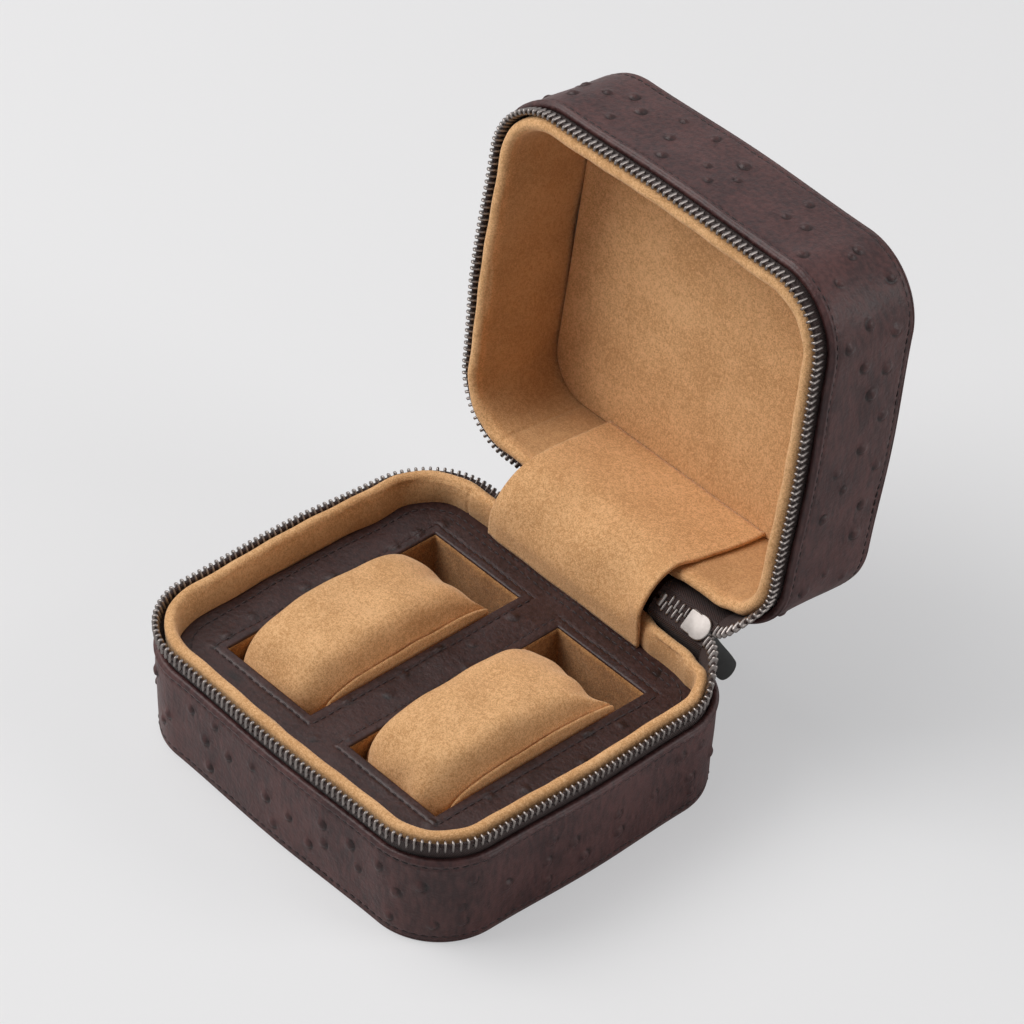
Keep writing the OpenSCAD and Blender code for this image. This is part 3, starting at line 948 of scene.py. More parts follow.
@dataclass(frozen=True)
class Quills:
    """Quill bumps over a strip of leather: a round rise with a pit at one side of its top.

    The centres stand on a staggered lattice, each moved at random, and a few are left out.
    """

    seed: int
    pitch: float = 16.0
    row_share: float = 0.62
    rise: float = 0.58
    radius: float = 1.4
    swell: float = 0.25
    swell_radius: float = 2.5
    hole_depth: float = 0.5
    # Heading of the crescent, set so that its dark colour falls on the side turned from the lamps:
    # painted shade.
    heading: float = 0.3
    left_out: float = 0.24
    reach: float = 6.0
    crescent_w: float = 0.38

    def centres(self, u: tuple[float, float], v: tuple[float, float]) -> Array:
        """Centres of the bumps and the heading of each hole.

        Args:
            u: Range along the strip.
            v: Range across the strip.

        Returns:
            Rows of u, v and angle.
        """
        rng = np.random.default_rng(self.seed)
        rows = max(1, round((v[1] - v[0]) / (self.pitch * self.row_share)))
        step_v = (v[1] - v[0]) / rows
        count = max(1, round((u[1] - u[0]) / self.pitch))
        step_u = (u[1] - u[0]) / count
        i, j = np.meshgrid(np.arange(count), np.arange(rows), indexing="ij")
        at_u = u[0] + (i + 0.5 * (j % 2) + 0.25 + rng.uniform(-0.32, 0.32, i.shape)) * step_u
        at_v = v[0] + (j + 0.5 + rng.uniform(-0.3, 0.3, i.shape)) * step_v
        angle = rng.normal(self.heading, 0.5, i.shape)
        kept = rng.uniform(size=i.shape) > self.left_out
        return np.stack([at_u[kept], at_v[kept], angle[kept]], axis=1)

    def relief(self, u: Array, v: Array, centres: Array, period: float | None = None) -> Triple:
        """Height of the bumps and how far each point lies in a hole or on a rise.

        A rise is a small dome, exp(-(r / radius) ^ 4), on a wide low bell. The pit is a crescent: a
        ring just outside the dome's half height, faded out on the side away from its heading. The
        heading is set towards the side turned from the lamps, so the crescent's dark colour also paints
        shade there.

        Args:
            u: Places along the leather.
            v: Places across it.
            centres: Rows of u, v and angle.
            period: Length after which u repeats, or None.

        Returns:
            Height, share of the crescent (pit and painted shade) and rise share.
        """
        height = np.zeros(np.broadcast(u, v).shape)
        hole_and_shade = np.zeros_like(height)
        rise = np.zeros_like(height)
        rng = np.random.default_rng(self.seed + 1)
        for cu, cv, angle in centres:
            size = rng.uniform(0.8, 1.2)
            du = u - cu
            if period:
                du = (du + period / 2) % period - period / 2
            dv = v - cv
            near = (np.abs(du) < self.reach) & (np.abs(dv) < self.reach)
            if not near.any():
                continue
            du, dv = (np.broadcast_to(a, height.shape)[near] / size for a in (du, dv))
            along = du * math.cos(angle) + dv * math.sin(angle)
            across = dv * math.cos(angle) - du * math.sin(angle)
            r = np.hypot(along / 1.08, across * 0.94)
            dome = np.exp(-((r / self.radius) ** 4))
            bell = np.exp(-((r / self.swell_radius) ** 2))
            facing = smooth((along / np.maximum(r, 0.01) + 0.25) / 1.1)
            crescent = facing * np.exp(-(((r - 1.08 * self.radius) / self.crescent_w) ** 2))
            height[near] += size * (self.rise * dome + self.swell * bell - self.hole_depth * crescent)
            hole_and_shade[near] = np.maximum(hole_and_shade[near], crescent)
            rise[near] = np.maximum(rise[near], np.exp(-((r / (1.35 * self.radius)) ** 4)))
        return height, hole_and_shade, rise


@dataclass(frozen=True)
class Stitching:
    """A row of lockstitches: short threads whose ends dive into the leather."""

    pitch: float = 3.0
    length: float = 2.3
    thread_r: float = 0.27
    slant_deg: float = 3.0

    def shape(self) -> Shape:
        """One stitch along X, arched, with its ends sunk."""
        x = np.array([-1, -0.82, -0.3, 0.3, 0.82, 1.0]) * self.length / 2
        r = np.array([0.4, 0.9, 1.0, 1.0, 0.9, 0.4]) * self.thread_r
        sink = -1.3 * self.thread_r * np.abs(2 * x / self.length) ** 4
        a = between(0, 2 * math.pi, 7)[:-1]
        rings = np.stack([
            np.broadcast_to(x[:, None], (6, 6)),
            r[:, None] * np.cos(a) + sink[:, None],
            r[:, None] * np.sin(a),
        ], axis=-1)
        return Shape(rings)

    def row(self, name: str, points: Array, outward: Array) -> Piece:
        """Stitches along a path.

        Args:
            name: Name of the piece.
            points: Closely spaced points on the leather along the seam, n by 3.
            outward: Directions away from the leather at those points, n by 3.

        Returns:
            The new object, its stitches evenly spaced.
        """
        travelled = travelled_along(points)
        count = max(1, int(travelled[-1] // self.pitch))
        places = (np.arange(count) + 0.5) * travelled[-1] / count

        def at(values: Array, where: Array) -> Array:
            """Values along the path at the given lengths."""
            return np.stack([np.interp(where, travelled, values[:, k]) for k in range(3)], axis=1)

        reach = self.length / 4
        centre = at(points, places)
        along = unit(at(points, places + reach) - at(points, places - reach))
        out = at(outward, places)
        out = unit(out - along * np.sum(out * along, axis=1, keepdims=True))
        across = np.cross(along, out)
        tilt = math.radians(self.slant_deg)
        along, across = (
            along * math.cos(tilt) + across * math.sin(tilt),
            across * math.cos(tilt) - along * math.sin(tilt),
        )
        axes = np.stack([along, out, across], axis=1)
        return self.shape().copies(name, centre, axes)


@dataclass
class LeatherShell:
    """The outer leather of one half: the wall with its rolled hem, and the flat panel under it."""

    half: Half
    seed: int
    taper: float = 0.8
    step: float = 0.5
    panel_t: float = 1.0
    panel_in: float = 0.25
    hem_stitch: float = 2.9
    foot_stitch: float = 1.5
    groove: float = 0.36
    groove_w: float = 0.45
    bead: float = 0.42
    pitch: float = 15.0
    # Heading of the quills' crescents, turned from the lamps, so their dark colour is partly painted
    # shade.
    heading: float = 3.5
    hem_drop: float = 0.3
    stitching: Stitching = field(default_factory=Stitching)

    @property
    def edge(self) -> float:
        """Height of the hem's top in the half's own frame."""
        return CASE.edge[self.half] - self.hem_drop

    @property
    def seams(self) -> dict[str, float]:
        """Heights of the two stitch lines."""
        return {"hem": self.edge - self.hem_stitch, "foot": self.panel_t + self.foot_stitch}

    def face(self, z: Array) -> Array:
        """Outward offset of the plain outer face at a height.

        The face leans in towards the foot by the taper, dips at the two stitch lines as narrow
        bells, and swells above the upper one as a half sine.
        """
        lean = -self.taper * (1 - np.clip(z / self.edge, 0, 1)) ** 1.2
        upper, lower = self.seams.values()
        dips = sum(np.exp(-(((z - at) / self.groove_w) ** 2)) for at in (upper, lower))
        swell = np.sin(np.pi * np.clip((z - upper) / (self.edge - upper), 0, 1))
        lip = smooth((lower - z) / 0.8)
        return lean - self.groove * dips + self.bead * swell - 0.12 * lip

    def wall(self) -> Piece:
        """Wall: a closed profile carried round the outline, with quills on its outer face."""
        thick = CASE.leather_t + CASE.hem_t
        r = thick / 2
        foot = self.panel_t + 0.08
        z_face = np.arange(foot + 0.5, self.edge - r, self.step)
        turn = between(0, math.pi, 9)
        low_in = np.array([
            [-CASE.leather_t, foot + 6], [-CASE.leather_t, foot], [-0.5, foot], [-0.14, foot + 0.14],
        ])
        outer = np.c_[self.face(z_face), z_face]
        top = np.c_[-r + (r + self.bead * 0.3) * np.cos(turn), self.edge - r + r * np.sin(turn)]
        inner = np.array([[-thick, self.edge - 4], [-CASE.leather_t, self.edge - 4.3]])
        low_in[:, 0] -= self.taper
        profile = np.vstack([low_in, outer, top, inner])
        on_face = np.r_[np.zeros(len(low_in)), np.ones(len(outer)), np.zeros(len(top) + len(inner))]
        length = CASE.outline.length
        s = CASE.outline.steps(self.step)[:, None]
        z = profile[None, :, 1]
        quills = Quills(self.seed, self.pitch, heading=self.heading)
        centres = quills.centres((0, length), (foot + 3.0, self.edge - 4.6))
        height, hole_and_shade, rise = quills.relief(s, z, centres, length)
        fade = smooth((z - foot - 1.6) / 1.5) * smooth((self.edge - 3.4 - z) / 1.2) * on_face
        sway = Ripple(0.12, 22, self.seed + 5).at(s, z, length) * on_face
        pucker = 0.08 * np.sin(2 * np.pi * s / self.stitching.pitch)
        near = sum(np.exp(-(((z - at) / 0.9) ** 2)) for at in self.seams.values())
        offset = profile[None, :, 0] + height * fade + sway + pucker * near * on_face
        grid = CASE.place(CASE.round_grid(s, offset, z), self.half)
        name = self.half.value + "_wall_hide"
        obj = surface(name, grid, wrap_u=True, wrap_v=True, flip=self.half is Half.BASE)
        set_relief(obj, hole_and_shade * fade, rise * fade)
        return dress(obj, Finish.LEATHER, self.half.body, [self.half.value + "_wall_leather"])

    def panel(self) -> Piece:
        """Flat outer panel: rings from the middle of the outer face, round the edge and back."""
        step = 0.75 if self.half is Half.LID else 1.5
        s = CASE.outline.steps(step)
        share = between(0, 1, int(CASE.width / 2 / step))
        edge = quarter(5)[1:]
        reach = self.panel_t / 2
        inset = self.taper + self.panel_in
        boundary, _ = CASE.outline.at(s, -inset - reach)
        _, normal = CASE.outline.at(s, 0.0)
        flat = share[:, None, None] * boundary[None]
        quills = Quills(self.seed + 40, pitch=17.0)
        w, d = CASE.width / 2 - 5, CASE.depth / 2 - 5
        centres = quills.centres((-w, w), (-d, d))
        height, hole_and_shade, rise = quills.relief(flat[..., 0], flat[..., 1], centres)
        fade = smooth((1 - share) / 0.05)[:, None]
        swell = Ripple(0.1, 26, self.seed + 9).at(flat[..., 0], flat[..., 1])
        deep = (height + swell) * fade
        if self.half is Half.BASE:
            deep = np.minimum(deep, 0)
        outer = np.concatenate([flat, -deep[..., None]], axis=-1)
        rim = [level(boundary + normal * reach * math.sin(a), reach * (1 - math.cos(a))) for a in edge]
        back = [
            level(boundary + normal * reach * math.cos(a), self.panel_t - reach * (1 - math.sin(a)))
            for a in edge
        ]
        inner = [level(boundary * k, self.panel_t) for k in (0.9, 0.5, 0.0)]
        grid = CASE.place(np.concatenate([outer, rim, back, inner]), self.half)
        obj = disc_surface(self.half.value + "_panel_hide", grid, flip=self.half is Half.LID)
        set_relief(obj, (hole_and_shade * fade)[1:], (rise * fade)[1:])
        node = "base_floor_leather" if self.half is Half.BASE else "lid_top_leather"
        return dress(obj, Finish.LEATHER, self.half.body, [node])

    def stitches(self) -> None:
        """The row under the hem and the row above the foot."""
        s = between(0, CASE.outline.length, 900)
        for label, z in self.seams.items():
            offset = float(self.face(np.array(z))) + 0.12
            points = CASE.place(CASE.round_grid(s, offset, z), self.half)
            _, normal = CASE.outline.at(s, 0.0)
            outward = CASE.directions(np.c_[normal, np.zeros(len(s))], self.half)
            obj = self.stitching.row(f"{self.half.value}_{label}_stitches", points, outward)
            dress(obj, Finish.THREAD, self.half.body)

    def build(self) -> None:
        """Makes the wall, the panel and their stitches."""
        self.wall()
        self.panel()
        self.stitches()


@dataclass
class WallLining:
    """Padded suede lining of one half's wall, with its round rim."""

    half: Half
    seed: int
    out: float = 3.7
    depth: float = 7.8
    lean: float = 0.0
    left_s: tuple[float, float] = (300.0, 440.0)
    front_s: tuple[float, float] = (165.0, 330.0)
    lean_ease: float = 30.0
    step: float = 1.0
    pocket: tuple[float, float] = (5.2, 8.5)
    pocket_x: tuple[float, float] = (36.0, 54.5)
    ease: float = 8.0
    seam_x: float = -48.0
    seam_depth: float = 0.45

    def pocket_share(self, s: Array) -> Array:
        """Share of the pocket beside the slider, eased at both its ends."""
        a, b = (CASE.outline.place_of_x(x) for x in self.pocket_x)
        return smooth((s - a + self.ease) / self.ease) * smooth((b + self.ease - s) / self.ease)

    def outward_lean(self, s: Array, z: Array) -> Array:
        """How far the padding leans out over the left side and the front, growing with height."""
        left, front = (
            smooth((s - a) / self.lean_ease) * smooth((b - s) / self.lean_ease)
            for a, b in (self.left_s, self.front_s)
        )
        rim = CASE.rim[self.half]
        return self.lean * (left + 0.3 * front) * smooth((z - rim + 10) / 10)

    def build(self) -> Piece:
        """A loop of inner face, half-round rim and outer face, carried round the outline."""
        rim = CASE.rim[self.half]
        r0 = (self.depth - self.out) / 2
        low = CASE.floor_top if self.half is Half.LID else CASE.insert_z - 3
        z_face = between(low, rim - r0, 30)
        turn = between(0, math.pi, 15)[1:-1]
        length = CASE.outline.length
        s = CASE.outline.steps(self.step)[:, None]
        inside = self.pocket_share(s)
        outer = self.out + (self.pocket[0] - self.out) * inside
        depth = self.depth + (self.pocket[1] - self.depth) * inside
        centre = (depth + outer) / 2
        half_t = (depth - outer) / 2
        seam = length + CASE.outline.place_of_x(self.seam_x)
        groove = self.seam_depth * np.exp(-(((s - seam) / 0.5) ** 2))
        sway = Ripple(0.28, 24, self.seed).at(s, z_face[None], length)
        stuffed = 0.5 * np.sin(np.pi * (z_face - low) / (rim - low)) ** 2
        inner = -depth - sway - stuffed[None] + groove
        top = -centre - half_t * np.cos(turn)[None] + groove * np.cos(turn)[None].clip(0)
        z_top = rim - r0 + r0 * np.sin(turn) + 0.12 * np.sin(4 * np.pi * s / 31)
        back = np.repeat(-outer, 3, axis=1)
        offset = np.concatenate([inner, top, back], axis=1)
        z = np.concatenate([
            np.broadcast_to(z_face, (len(s), len(z_face))), z_top,
            np.broadcast_to([rim - r0, (rim + low) / 2, low], (len(s), 3)),
        ], axis=1)
        offset = offset + self.outward_lean(s, z)
        grid = CASE.place(CASE.round_grid(s, offset, z), self.half)
        name = self.half.value + "_lining"
        obj = surface(name, grid, wrap_u=True, wrap_v=True, flip=self.half is Half.LID)
        # Painted shade: none at the rim's top, full from about 5 mm below it, standing for the shade
        # inside the walls.
        set_attribute(obj, "painted_shade", smooth((rim - 2.2 - z) / 3))
        return dress(obj, Finish.SUEDE, self.half.body, [self.half.value + "_wall_lining"])


@dataclass
class Zip:
    """Tapes, teeth and stops of the zip, with the stretch near the slider leaving both halves."""

    tape_t: float = 0.6
    cord_r: float = 0.72
    end_x: float = -37.0
    leave: float = 22.0
    tape_foot: float = 2.4
    leave_gain_x: float = 0.024
    leave_gain_z: float = 0.05
    stand: float = 1.8
    tape_reach: float = 3.9
    flare_at: tuple = (
        (54.5, 0.0), (84.0, 14.0), (150.0, 17.0), (198.0, 2.0), (290.0, 0.0), (328.0, 24.0),
        (405.0, 33.0), (452.0, 37.0),
    )
    base_out_at: tuple = (
        (54.5, 0.0), (84.0, 0.9), (160.0, 1.2), (198.0, 2.2), (290.0, 2.2), (328.0, 1.5), (452.0, 0.5),
    )
    lid_out_at: tuple = (
        (54.5, 0.0), (160.0, 0.0), (198.0, 0.7), (290.0, 0.7), (328.0, 0.3), (452.0, 0.0),
    )
    drop_at: tuple = ((375.0, 0.0), (415.0, 1.7), (452.0, 1.5))

    @property
    def mouth(self) -> float:
        """Place of the slider's mouth on the outline."""
        return CASE.outline.place_of_x(CASE.mouth_x)

    @property
    def end(self) -> float:
        """Place of the last tooth on the outline."""
        return CASE.outline.length + self.end_x

    def flare(self, s: Array) -> Array:
        """Outward tilt of the toothed edge, in radians."""
        return np.radians(np.interp(s, *np.transpose(self.flare_at)))

    def drop(self, s: Array) -> Array:
        """How far the toothed edge sags, none but near the tape's end."""
        return np.interp(s, *np.transpose(self.drop_at))

    def section(self, s: Array, half: Half, steps: int = 9) -> Triple:
        """Centre line of the tape's cross-section at each place.

        The tape starts upright in the hem and tilts outwards towards its top edge; the offset and
        the height are the running sums of the tilt's sine and cosine.

        Args:
            s: Places on the outline, n.
            half: The half it is sewn to.
            steps: Points across the tape.

        Returns:
            Offset, height and tilt in radians, each n by steps.
        """
        foot = CASE.edge[half] - self.tape_foot
        step = (CASE.mid[half] - 0.1 - self.stand - foot - self.drop(s))[:, None] / (steps - 1)
        h = between(0, 1, steps)
        tilt = self.flare(s)[:, None] * smooth((h - 0.3) / 0.7)[None]
        mean = (tilt[:, 1:] + tilt[:, :-1]) / 2
        start = np.zeros((len(s), 1))
        out, rise = (
            np.concatenate([start, np.cumsum(wave(mean) * step, axis=1)], axis=1)
            for wave in (np.sin, np.cos)
        )
        offset = out - CASE.track_inset
        height = foot + rise
        out_at = self.base_out_at if half is Half.BASE else self.lid_out_at
        offset = offset + np.interp(s, *np.transpose(out_at))[:, None] * smooth(h)[None]
        return offset, height, tilt

    def share(self, s: Array, half: Half) -> Array:
        """Share of the lid's opening at the tape's toothed edge: a half at the slider's mouth."""
        half_way = 0.5 * (1 - smooth((s - self.mouth) / self.leave))
        return half_way if half is Half.BASE else 1 - half_way

    def ribbon(self, offset: Array, height: Array, tilt: Array) -> Array:
        """Closed loops round the tape: both faces, joined by a round cord at the toothed edge.

        Args:
            offset: Outward offsets of the centre line, n by steps.
            height: Heights of the centre line.
            tilt: Outward tilt of the centre line, in radians.

        Returns:
            Offsets and heights, n by points by 2.
        """
        out = np.stack([np.cos(tilt), -np.sin(tilt)], axis=-1)
        centre = np.stack([offset, height], axis=-1)
        front = centre + out * self.tape_t / 2
        back = centre - out * self.tape_t / 2
        up = np.stack([np.sin(tilt[:, -1]), np.cos(tilt[:, -1])], axis=-1)
        a = np.radians([-50, -20, 20, 60, 90, 120, 160, 200, 230])
        cord = (
            centre[:, -1:, :]
            + out[:, -1:, :] * (self.cord_r * np.cos(a))[None, :, None]
            + up[:, None, :] * (self.cord_r * np.sin(a))[None, :, None]
        )
        return np.concatenate([front[:, :-1], cord, back[:, :-1][:, ::-1]], axis=1)

    def tape(
        self,
        name: str,
        half: Half,
        s: Array,
        section: Triple | None = None,
        share: float | None = None,
    ) -> Piece:
        """A stretch of tape.

        Args:
            name: Name of the piece.
            half: The half it is sewn to.
            s: Places along it.
            section: Centre lines, or None for the tape that stands in the hem.
            share: Share of the lid's opening that all of it turns by, or None where its foot stays
                with its half and its toothed edge leaves for the slider.

        Returns:
            The new object.
        """
        offset, height, tilt = section or self.section(s, half)
        steps = offset.shape[1]
        loop = self.ribbon(offset, height, tilt)
        grid = CASE.round_grid(s[:, None], loop[..., 0], loop[..., 1])
        if share is None:
            cord = loop.shape[1] - 2 * (steps - 1)
            h = np.r_[between(0, 1, steps)[:-1], np.ones(cord), between(1, 0, steps)[1:]]
            share = half.turned + (self.share(s, half) - half.turned)[:, None] * (h**1.5)[None]
        grid = CASE.place(grid, half, share)
        across = travelled_along(loop[0])
        return surface(
            name, grid, wrap_v=True, flip=half is Half.BASE, capped=True,
            uv=(s[:, None] + 0 * across[None], 0 * s[:, None] + across[None]),
        )

    def tooth(self) -> Shape:
        """One tooth: legs that grip the tape's cord, a waist and a head, as eight-sided rings."""
        h = np.array([-1.95, -1.8, -1.0, 0.1, 0.6, 1.1, 1.5, 1.8])
        w = np.array([0.28, 0.44, 0.47, 0.46, 0.45, 0.46, 0.43, 0.28])
        t = np.array([0.7, 1.04, 1.1, 1.1, 1.02, 1.0, 0.9, 0.55])
        loop = rounded_loop(2, 2, 0.6, 2)
        rings = np.stack([
            loop[None, :, 0] * w[:, None], loop[None, :, 1] * t[:, None],
            np.broadcast_to(h[:, None], (len(h), len(loop))),
        ], axis=-1)
        return Shape(rings)

    def teeth(
        self, name: str, half: Half, s: Array, share: Array | None = None,
        shape: Shape | None = None, meshed: float | None = None,
    ) -> Piece:
        """Teeth, or other small shapes, standing on the tape's toothed edge, one at each place.

        Args:
            name: Name of the piece.
            half: The half whose tape they clamp.
            s: Their places.
            share: Share of the lid's opening they turn by, or None for the tape's own.
            shape: The shape to repeat, or None for the tooth.
            meshed: How far they reach past the open zip's line, upright, or None for open teeth.

        Returns:
            The new object.
        """
        offset, height, tilt = (a[:, -1] for a in self.section(s, half))
        if meshed is not None:
            offset = np.full(len(s), -CASE.track_inset)
            height = np.full(len(s), CASE.mid[half] - 0.1 - self.stand + meshed)
            tilt = np.zeros(len(s))
        origin = CASE.round_grid(s, offset, height)
        _, normal = CASE.outline.at(s, 0.0)
        up = np.c_[normal * np.sin(tilt)[:, None], np.cos(tilt)]
        out = np.c_[normal * np.cos(tilt)[:, None], -np.sin(tilt)]
        along = np.c_[normal[:, 1], -normal[:, 0], np.zeros(len(s))]
        share = self.share(s, half) if share is None else share
        axes = np.stack([CASE.directions(v, half, share) for v in (along, out, up)], axis=1)
        return (shape or self.tooth()).copies(name, CASE.place(origin, half, share), axes)

    def ride_or_leave(self, obj: Piece, half: Half) -> Piece:
        """Bakes the placement of a stretch near the slider into its points.
        """
        up = np.array([0.0, 0.0, 1.0])
        start = np.array([67.0, 0.0, CASE.mid[half]])
        if half is Half.LID:
            up = CASE.directions(up, Half.LID)
            start = CASE.place(start, Half.LID)
        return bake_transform(obj)

    def half_zip(self, half: Half) -> None:
        """Tape, teeth and top stop of one half."""
        turn = self.mouth + self.leave
        label = half.value
        body = half.body
        far = np.arange(turn, self.end + 3.5, 1.2)
        dress(self.tape(label + "_tape", half, far), Finish.TAPE, body, [label + "_zip_tape"])
        near = between(self.mouth - 1, turn, 26)
        leaving = dress(self.tape(label + "_tape_at_slider", half, near), Finish.TAPE, None)
        self.ride_or_leave(leaving, half)
        shift = 0.25 if half is Half.BASE else 0.75
        count = int((self.end - self.mouth) / CASE.tooth_pitch)
        s = self.mouth + (np.arange(count) + shift) * CASE.tooth_pitch
        s = s[s < self.end]
        teeth = self.teeth(label + "_teeth", half, s[s >= turn])
        dress(teeth, Finish.TEETH, body, [label + "_zip_teeth"])
        leaving = dress(self.teeth(label + "_teeth_at_slider", half, s[s < turn]), Finish.TEETH, None)
        self.ride_or_leave(leaving, half)
        self.top_stop(half)

    def top_stop(self, half: Half) -> None:
        """Metal stop clamped on the tape's edge past the last tooth."""
        rings = block(rounded_loop(2.0, 1.9, 0.5, 4), -1.7, 1.2, 0.35)
        obj = self.teeth(half.value + "_stop", half, np.array([self.end + 1.2]), shape=Shape(rings))
        dress(obj, Finish.TEETH, half.body, [half.value + "_top_stop"])

    def chain(self) -> None:
        """Meshed teeth between the flap and the slider, with the two tape edges they clamp."""
        x0, x1 = CASE.chain_x
        pieces = []
        tapes = []
        s = between(x0 - 3.5, CASE.mouth_x, 24)
        for half, shift in ((Half.BASE, 0.25), (Half.LID, 0.75)):
            places = np.arange(x0 + shift * CASE.tooth_pitch + 0.4, x1 + 1, CASE.tooth_pitch)
            half_way = np.full(len(places), 0.5)
            pieces.append(self.teeth("chain_" + half.value, half, places, half_way, meshed=0.75))
            height = CASE.mid[half] - between(self.tape_reach + 0.3, self.stand - 0.65, 6)
            flat = np.zeros((len(s), 6))
            section = (flat - CASE.track_inset, flat + height, flat)
            tapes.append(self.tape("edge_" + half.value, half, s, section, share=0.5))
        dress(join(pieces, "chain_teeth"), Finish.TEETH, "zip_end", ["closed_chain"])
        dress(join(tapes, "chain_tapes"), Finish.TAPE, "zip_end")
        rings = block(rounded_loop(2.0, 2.0, 0.5, 4), -2.2, 2.2, 0.4)
        origin = np.array([[x0 - 1.0, CASE.track_y, CASE.mid[Half.BASE]]])
        axes = np.stack([CASE.directions(np.eye(3)[k][None], Half.BASE, 0.5) for k in range(3)], axis=1)
        stop = Shape(rings).copies("chain_stop", CASE.place(origin, Half.BASE, 0.5), axes)
        dress(stop, Finish.TEETH, "zip_end", ["bottom_stop"])

    def web(self, half: Half) -> Piece:
        """Tape between a half's slot and the chain: a cubic across the gap, carried along X."""
        reach = self.tape_reach
        mid = CASE.mid[half]
        foot = np.array([0.0, CASE.track_y, CASE.edge[half] - 1.5])
        bend = np.array([0.0, CASE.track_y, CASE.rim[half] - 0.5])
        low = CASE.place(foot, half)
        low_bend = CASE.place(bend, half)
        high = CASE.place(np.array([0.0, CASE.track_y, mid - reach]), half, 0.5)
        high_bend = CASE.place(np.array([0.0, CASE.track_y, mid - reach - 2.0]), half, 0.5)
        path = cubic(low, low_bend, high_bend, high, 16)
        x = between(CASE.chain_x[0] - 3.5, CASE.mouth_x - 1.5, 24)
        grid = np.broadcast_to(path[None], (len(x), len(path), 3)).copy()
        grid[..., 0] = x[:, None]
        travelled = travelled_along(path)
        obj = surface(
            half.value + "_web", grid, flip=half is Half.LID,
            uv=(x[:, None] + 0 * travelled[None], 0 * x[:, None] + travelled[None]))
        thicken(obj, 0.5, 0.0)
        dress(obj, Finish.TAPE, None, ["zip_web"] if half is Half.BASE else [])
        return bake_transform(obj)

    def build(self) -> None:
        """Makes the whole zip apart from the slider."""
        for half in Half:
            self.half_zip(half)
            self.web(half)
        self.chain()


def join(pieces: Sequence[Piece], name: str) -> Piece:
    """Joins a few pieces into one mesh and gives it a name."""
    mesh = bmesh.new()
    for piece in pieces:
        mesh.from_mesh(piece.data)
    data = bpy.data.meshes.new(name)
    mesh.to_mesh(data)
    mesh.free()
    for piece in pieces:
        bpy.data.objects.remove(piece)
    data.polygons.foreach_set("use_smooth", np.ones(len(data.polygons), bool))
    obj = bpy.data.objects.new(name, data)
    bpy.context.scene.collection.objects.link(obj)
    return obj


